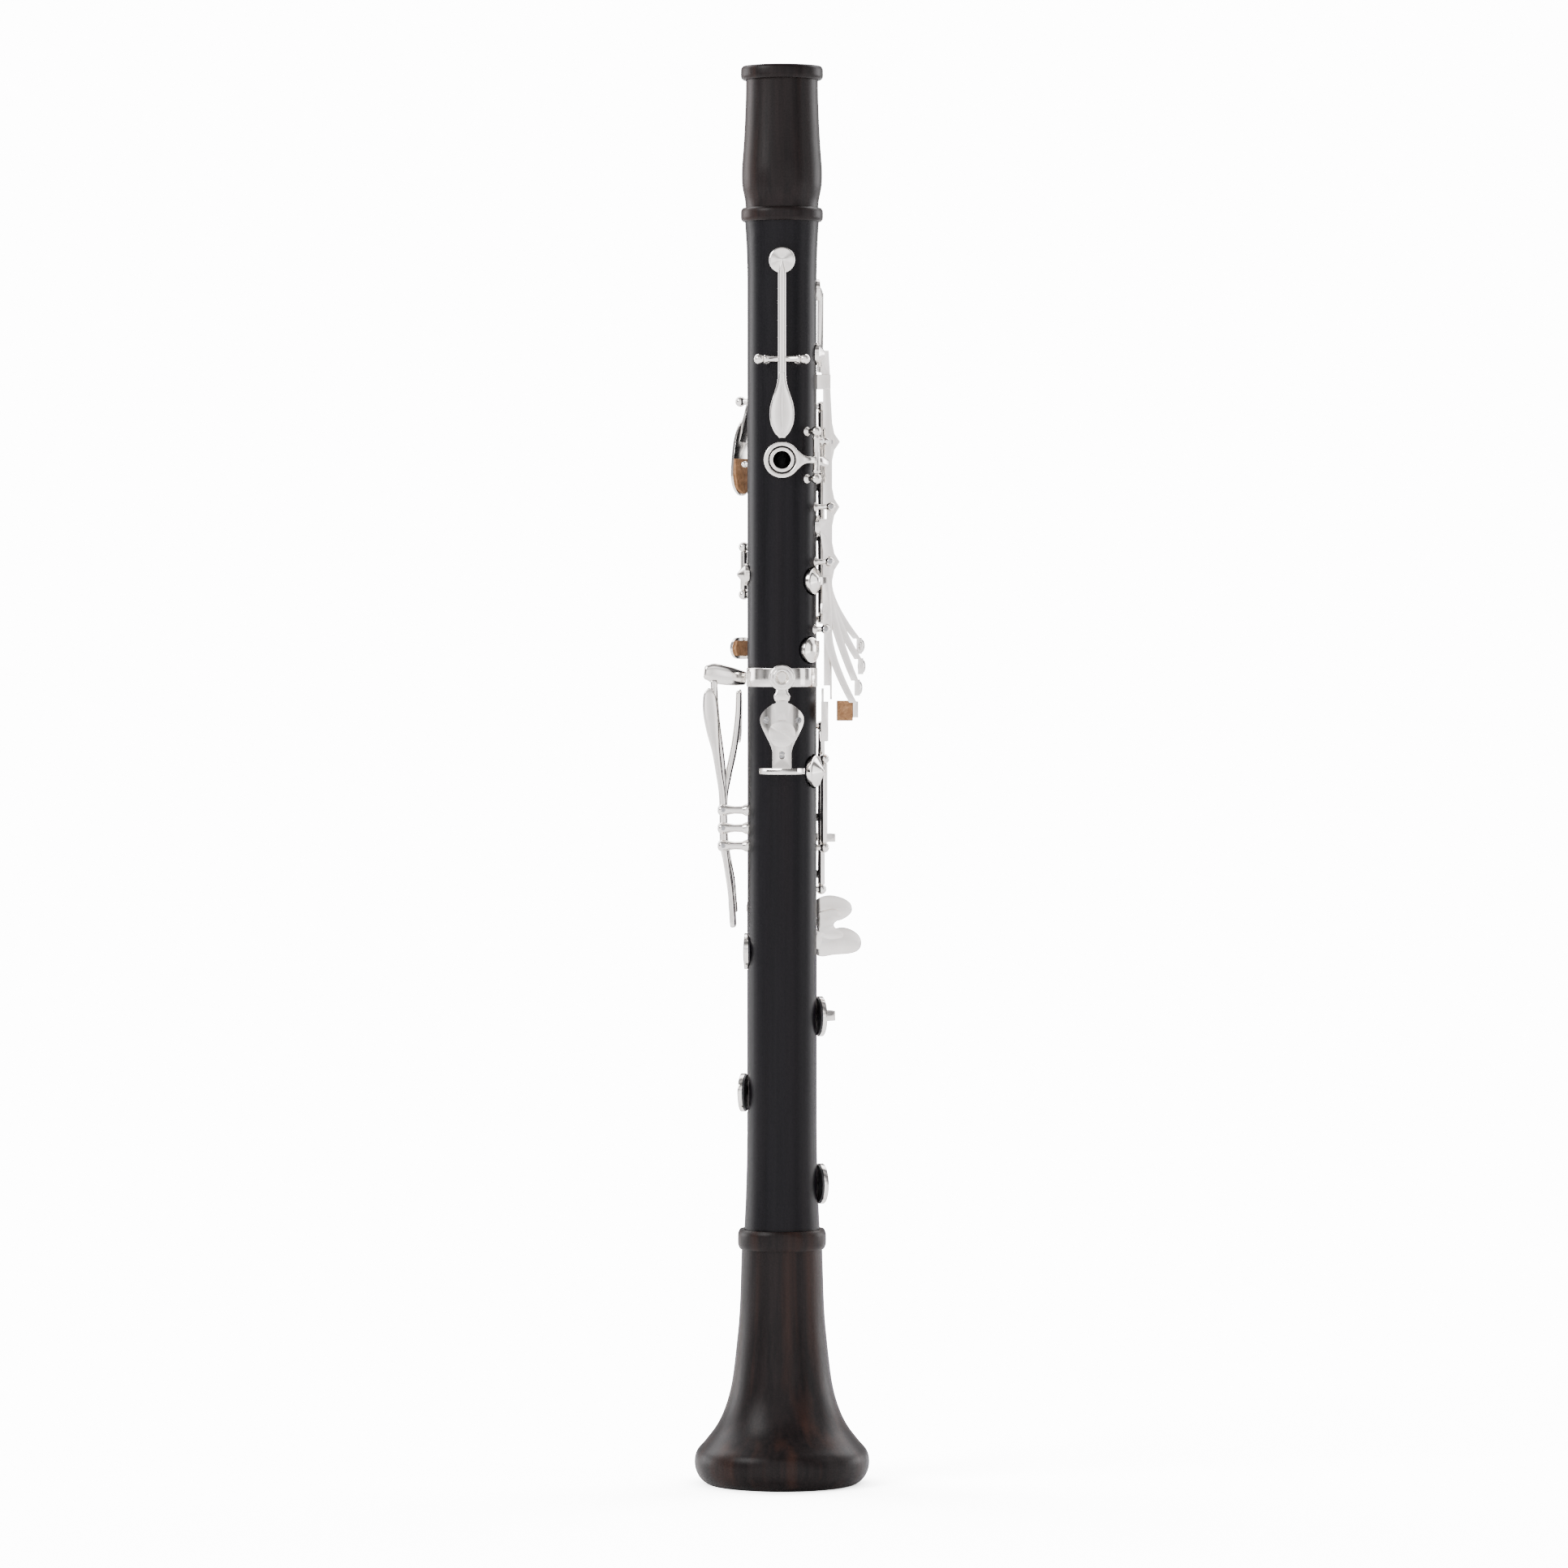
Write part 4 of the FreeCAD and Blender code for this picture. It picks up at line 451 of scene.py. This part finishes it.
LEVER_TOUCHES = {
    "left_e_lever": [
        (-31.4, 6.4, 341.0, 6.4, 3.0), (-28.8, 6.6, 340.7, 8.4, 3.6), (-24, 7.2, 339.8, 8.2, 3.4),
        (-19.5, 8.2, 339.0, 7.2, 3.0), (-16.2, 9.4, 338.6, 6.0, 2.6)],
    "left_f_sharp_lever": [
        (-17.6, 11.4, 333.0, 7.0, 1.3), (-17.5, 11.8, 328, 8.8, 1.5),
        (-17.6, 11.8, 317, 8.8, 1.5), (-17.9, 11.0, 312.5, 6.8, 1.4)],
}
TOUCH_SIDE = {"left_e_lever": UPWARD, "left_f_sharp_lever": DEEP}      # along a touch's width


def make_left_levers():
    """Bent arms of the three left-hand levers, two of them with a broad touch."""
    for name, arm in LEVER_ARMS.items():
        builder = bmesh.new()
        forged(builder, arm, ACROSS, 2.4)
        if name in LEVER_TOUCHES:
            forged(builder, LEVER_TOUCHES[name], TOUCH_SIDE[name], 2.6)
        piece(name + "_forged", name, "silver_plate", builder, [name])


BALUSTER_X, BALUSTER_Y = -13.9, -1.0
BALUSTER_HEIGHTS = (268.3, 275.7, 283.3)
BALUSTER = [(0, 2.1), (1.2, 2.05), (3.2, 1.7), (6.0, 1.6), (8.2, 1.95), (10.2, 2.35),
            (11.7, 2.42), (12.7, 1.9), (13.15, 0.9), (13.2, 0.01)]


def make_balusters():
    """The three turned posts that carry the levers' pivots."""
    for number, z in enumerate(BALUSTER_HEIGHTS):
        builder = bmesh.new()
        lathe(builder, BALUSTER, (BALUSTER_X, BALUSTER_Y, z), (-1, 0, 0))
        piece(f"baluster_{number}", "instrument", "silver_plate", builder)


# x, z and where along y the touch starts, clear of the neighbouring bar
SIDE_TOUCHES = {2: (32.2, 334.6, 0.2), 3: (33.5, 343.6, 1.6), 4: (33.1, 352.2, 3.4)}


def make_side_touches():
    """The touches at the lower ends of side keys 2 to 4."""
    for number, (x, z, start) in SIDE_TOUCHES.items():
        builder = bmesh.new()
        forged(builder, [(x, start, z, 4.2, 2.4), (x, start + 2.4, z, 5.6, 3.3), (x, 8.0, z, 5.8, 3.3),
                         (x, 11.8, z, 4.4, 2.6)], UPWARD, 2.3)
        piece(f"side_{number}_touch", f"side_key_{number}", "silver_plate", builder)


# x, z and the turn of the slot in degrees
WOOD_SCREWS = {1: (-6.0, 321.2, 25), 2: (6.4, 321.2, -60), 3: (0.0, 306.7, 10)}
SCREW_RADIUS = 14.55                                  # distance from the bore's axis where x is taken
SCREW_HEAD_RADIUS = 15.55                             # distance from the bore's axis where heads begin
SCREW_HEAD = ((0, 1.4), (0.3, 1.4), (0.42, 1.2))      # distance outward, radius
SLOT_DEGREES = 8                                      # half the slot's width, seen from the middle
HALF_DISC_STEPS = 16


def make_wood_screws():
    """Slotted heads: each is two half discs with the slot between them."""
    arc = 180 - 2 * SLOT_DEGREES
    for number, (x, z, slot_turn) in WOOD_SCREWS.items():
        builder = bmesh.new()
        out = Vector((x, -math.sqrt(SCREW_RADIUS ** 2 - x * x), 0)).normalized()
        up = Vector(UPWARD)
        centre = out * SCREW_HEAD_RADIUS + up * z
        across = out.cross(up).normalized()
        for half in (0, 180):
            loops = []
            for lift, radius in SCREW_HEAD:
                loop = []
                for step in range(HALF_DISC_STEPS + 1):
                    turn = math.radians(slot_turn + half + SLOT_DEGREES + step * arc / HALF_DISC_STEPS)
                    loop.append(centre + out * lift + across * radius * math.cos(turn)
                                + up * radius * math.sin(turn))
                loops.append(loop)
            loft(builder, loops)
        piece(f"wood_screw_{number}", "instrument", "steel", builder,
              ["thumb_rest_wood_screws"] if number == 1 else ())


make_register_key()
make_thumb_ring_key()
make_wood_screws()
make_strap_ring()
make_left_levers()
make_balusters()
make_side_touches()


# ---------------------------------------------------------------- stage, light and camera
FLOOR_RADIUS = 6.0      # metres


def make_floor():
    """A plain pale floor that shows only the shadow that falls on it."""
    mesh = bpy.data.meshes.new("floor")
    builder = bmesh.new()
    bmesh.ops.create_circle(builder, cap_ends=True, segments=96, radius=FLOOR_RADIUS)
    builder.to_mesh(mesh)
    builder.free()
    floor = bpy.data.objects.new("floor", mesh)
    bpy.context.scene.collection.objects.link(floor)
    n = Nodes("floor_paper")
    cloud = n.noise(n.coords, 3.0, 2.0, 0.5)
    n.plug("Base Color", n.ramp(cloud, [(0.3, 0.90), (0.7, 0.93)]))
    n.set(Roughness=0.9, Specular_IOR_Level=0.1)
    floor.data.materials.append(n.material)
    floor.is_shadow_catcher = True


def area_light(name, place, target, width, height, power):
    light = bpy.data.lights.new(name, "AREA")
    light.shape = "RECTANGLE"
    light.size = width
    light.size_y = height
    light.energy = power
    lamp = bpy.data.objects.new(name, light)
    lamp.location = place
    lamp.rotation_euler = (Vector(target) - Vector(place)).to_track_quat("-Z", "Y").to_euler()
    bpy.context.scene.collection.objects.link(lamp)


# the room's brightness: by depth, from the camera's side to the far side, and by height, from below to above
ROOM_DEPTH = [(0.0, 0.20), (0.03, 0.34), (0.09, 0.26), (0.15, 0.06), (0.24, 0.02), (0.38, 0.09),
              (0.56, 0.02), (0.66, 0.75), (0.80, 1.0), (0.88, 0.12), (1.0, 0.08)]
ROOM_HEIGHT = [(0.0, 0.9), (0.42, 0.95), (0.56, 1.0), (0.66, 0.35), (0.74, 1.0), (1.0, 0.8)]
ROOM_GREEN = 0.985      # green as a share of the red and blue, in the brightness by depth
ROOM_STRENGTH, PAPER_STRENGTH = 8.0, 14.0


def room_ramp(nodes, links, source, stops):
    """Colours along one axis of the direction that the light comes from."""
    share = nodes.new("ShaderNodeMapRange")
    share.inputs["From Min"].default_value = -1.0
    links.new(source, share.inputs["Value"])
    ramp = nodes.new("ShaderNodeValToRGB")
    fill_ramp(ramp.color_ramp, stops)
    links.new(share.outputs[0], ramp.inputs["Fac"])
    return ramp.outputs["Color"]


def make_light():
    """A room that is brightest in a ring behind the object; the camera sees white paper instead."""
    world = bpy.data.worlds.new("studio")
    bpy.context.scene.world = world
    world.use_nodes = True
    nodes, links = world.node_tree.nodes, world.node_tree.links
    split = nodes.new("ShaderNodeSeparateXYZ")
    links.new(nodes.new("ShaderNodeTexCoord").outputs["Generated"], split.inputs[0])
    both = nodes.new("ShaderNodeMix")
    both.data_type = "RGBA"
    both.blend_type = "MULTIPLY"
    both.inputs[0].default_value = 1.0
    by_depth = [(place, (grey, grey * ROOM_GREEN, grey)) for place, grey in ROOM_DEPTH]
    links.new(room_ramp(nodes, links, split.outputs["Y"], by_depth), both.inputs[6])
    links.new(room_ramp(nodes, links, split.outputs["Z"], ROOM_HEIGHT), both.inputs[7])
    room = nodes["Background"]
    room.inputs["Strength"].default_value = ROOM_STRENGTH
    links.new(both.outputs[2], room.inputs["Color"])
    paper = nodes.new("ShaderNodeBackground")
    paper.inputs["Color"].default_value = (1, 1, 1, 1)
    paper.inputs["Strength"].default_value = PAPER_STRENGTH
    mix = nodes.new("ShaderNodeMixShader")
    links.new(nodes.new("ShaderNodeLightPath").outputs["Is Camera Ray"], mix.inputs[0])
    links.new(room.outputs[0], mix.inputs[1])
    links.new(paper.outputs[0], mix.inputs[2])
    links.new(mix.outputs[0], nodes["World Output"].inputs["Surface"])
    area_light("key_left", (-1.3, -0.9, 1.3), (0, 0, 0.15), 0.9, 0.9, 26)
    area_light("fill_right", (1.2, -0.4, 0.6), (0, 0, 0.3), 0.4, 1.1, 3)


VIEW_WIDTH_MM = 658.8        # what the frame spans at the object
CAMERA_DISTANCE_MM = 2900.0
EYE_HEIGHT_MM = 363
SENSOR_WIDTH_MM = 36.0


def make_camera():
    """A long lens on the thumb side, above the object's middle and tilted down a little."""
    eye = mm(0, -CAMERA_DISTANCE_MM, EYE_HEIGHT_MM)
    target = mm(0.85, 0, 294.2)
    camera = bpy.data.cameras.new("camera")
    camera.sensor_width = SENSOR_WIDTH_MM
    camera.lens = camera.sensor_width * (target - eye).length / (VIEW_WIDTH_MM * MM)
    camera.clip_end = 50
    holder = bpy.data.objects.new("camera", camera)
    holder.location = eye
    holder.rotation_euler = (target - eye).to_track_quat("-Z", "Y").to_euler()
    bpy.context.scene.collection.objects.link(holder)
    bpy.context.scene.camera = holder


make_floor()
make_light()
make_camera()
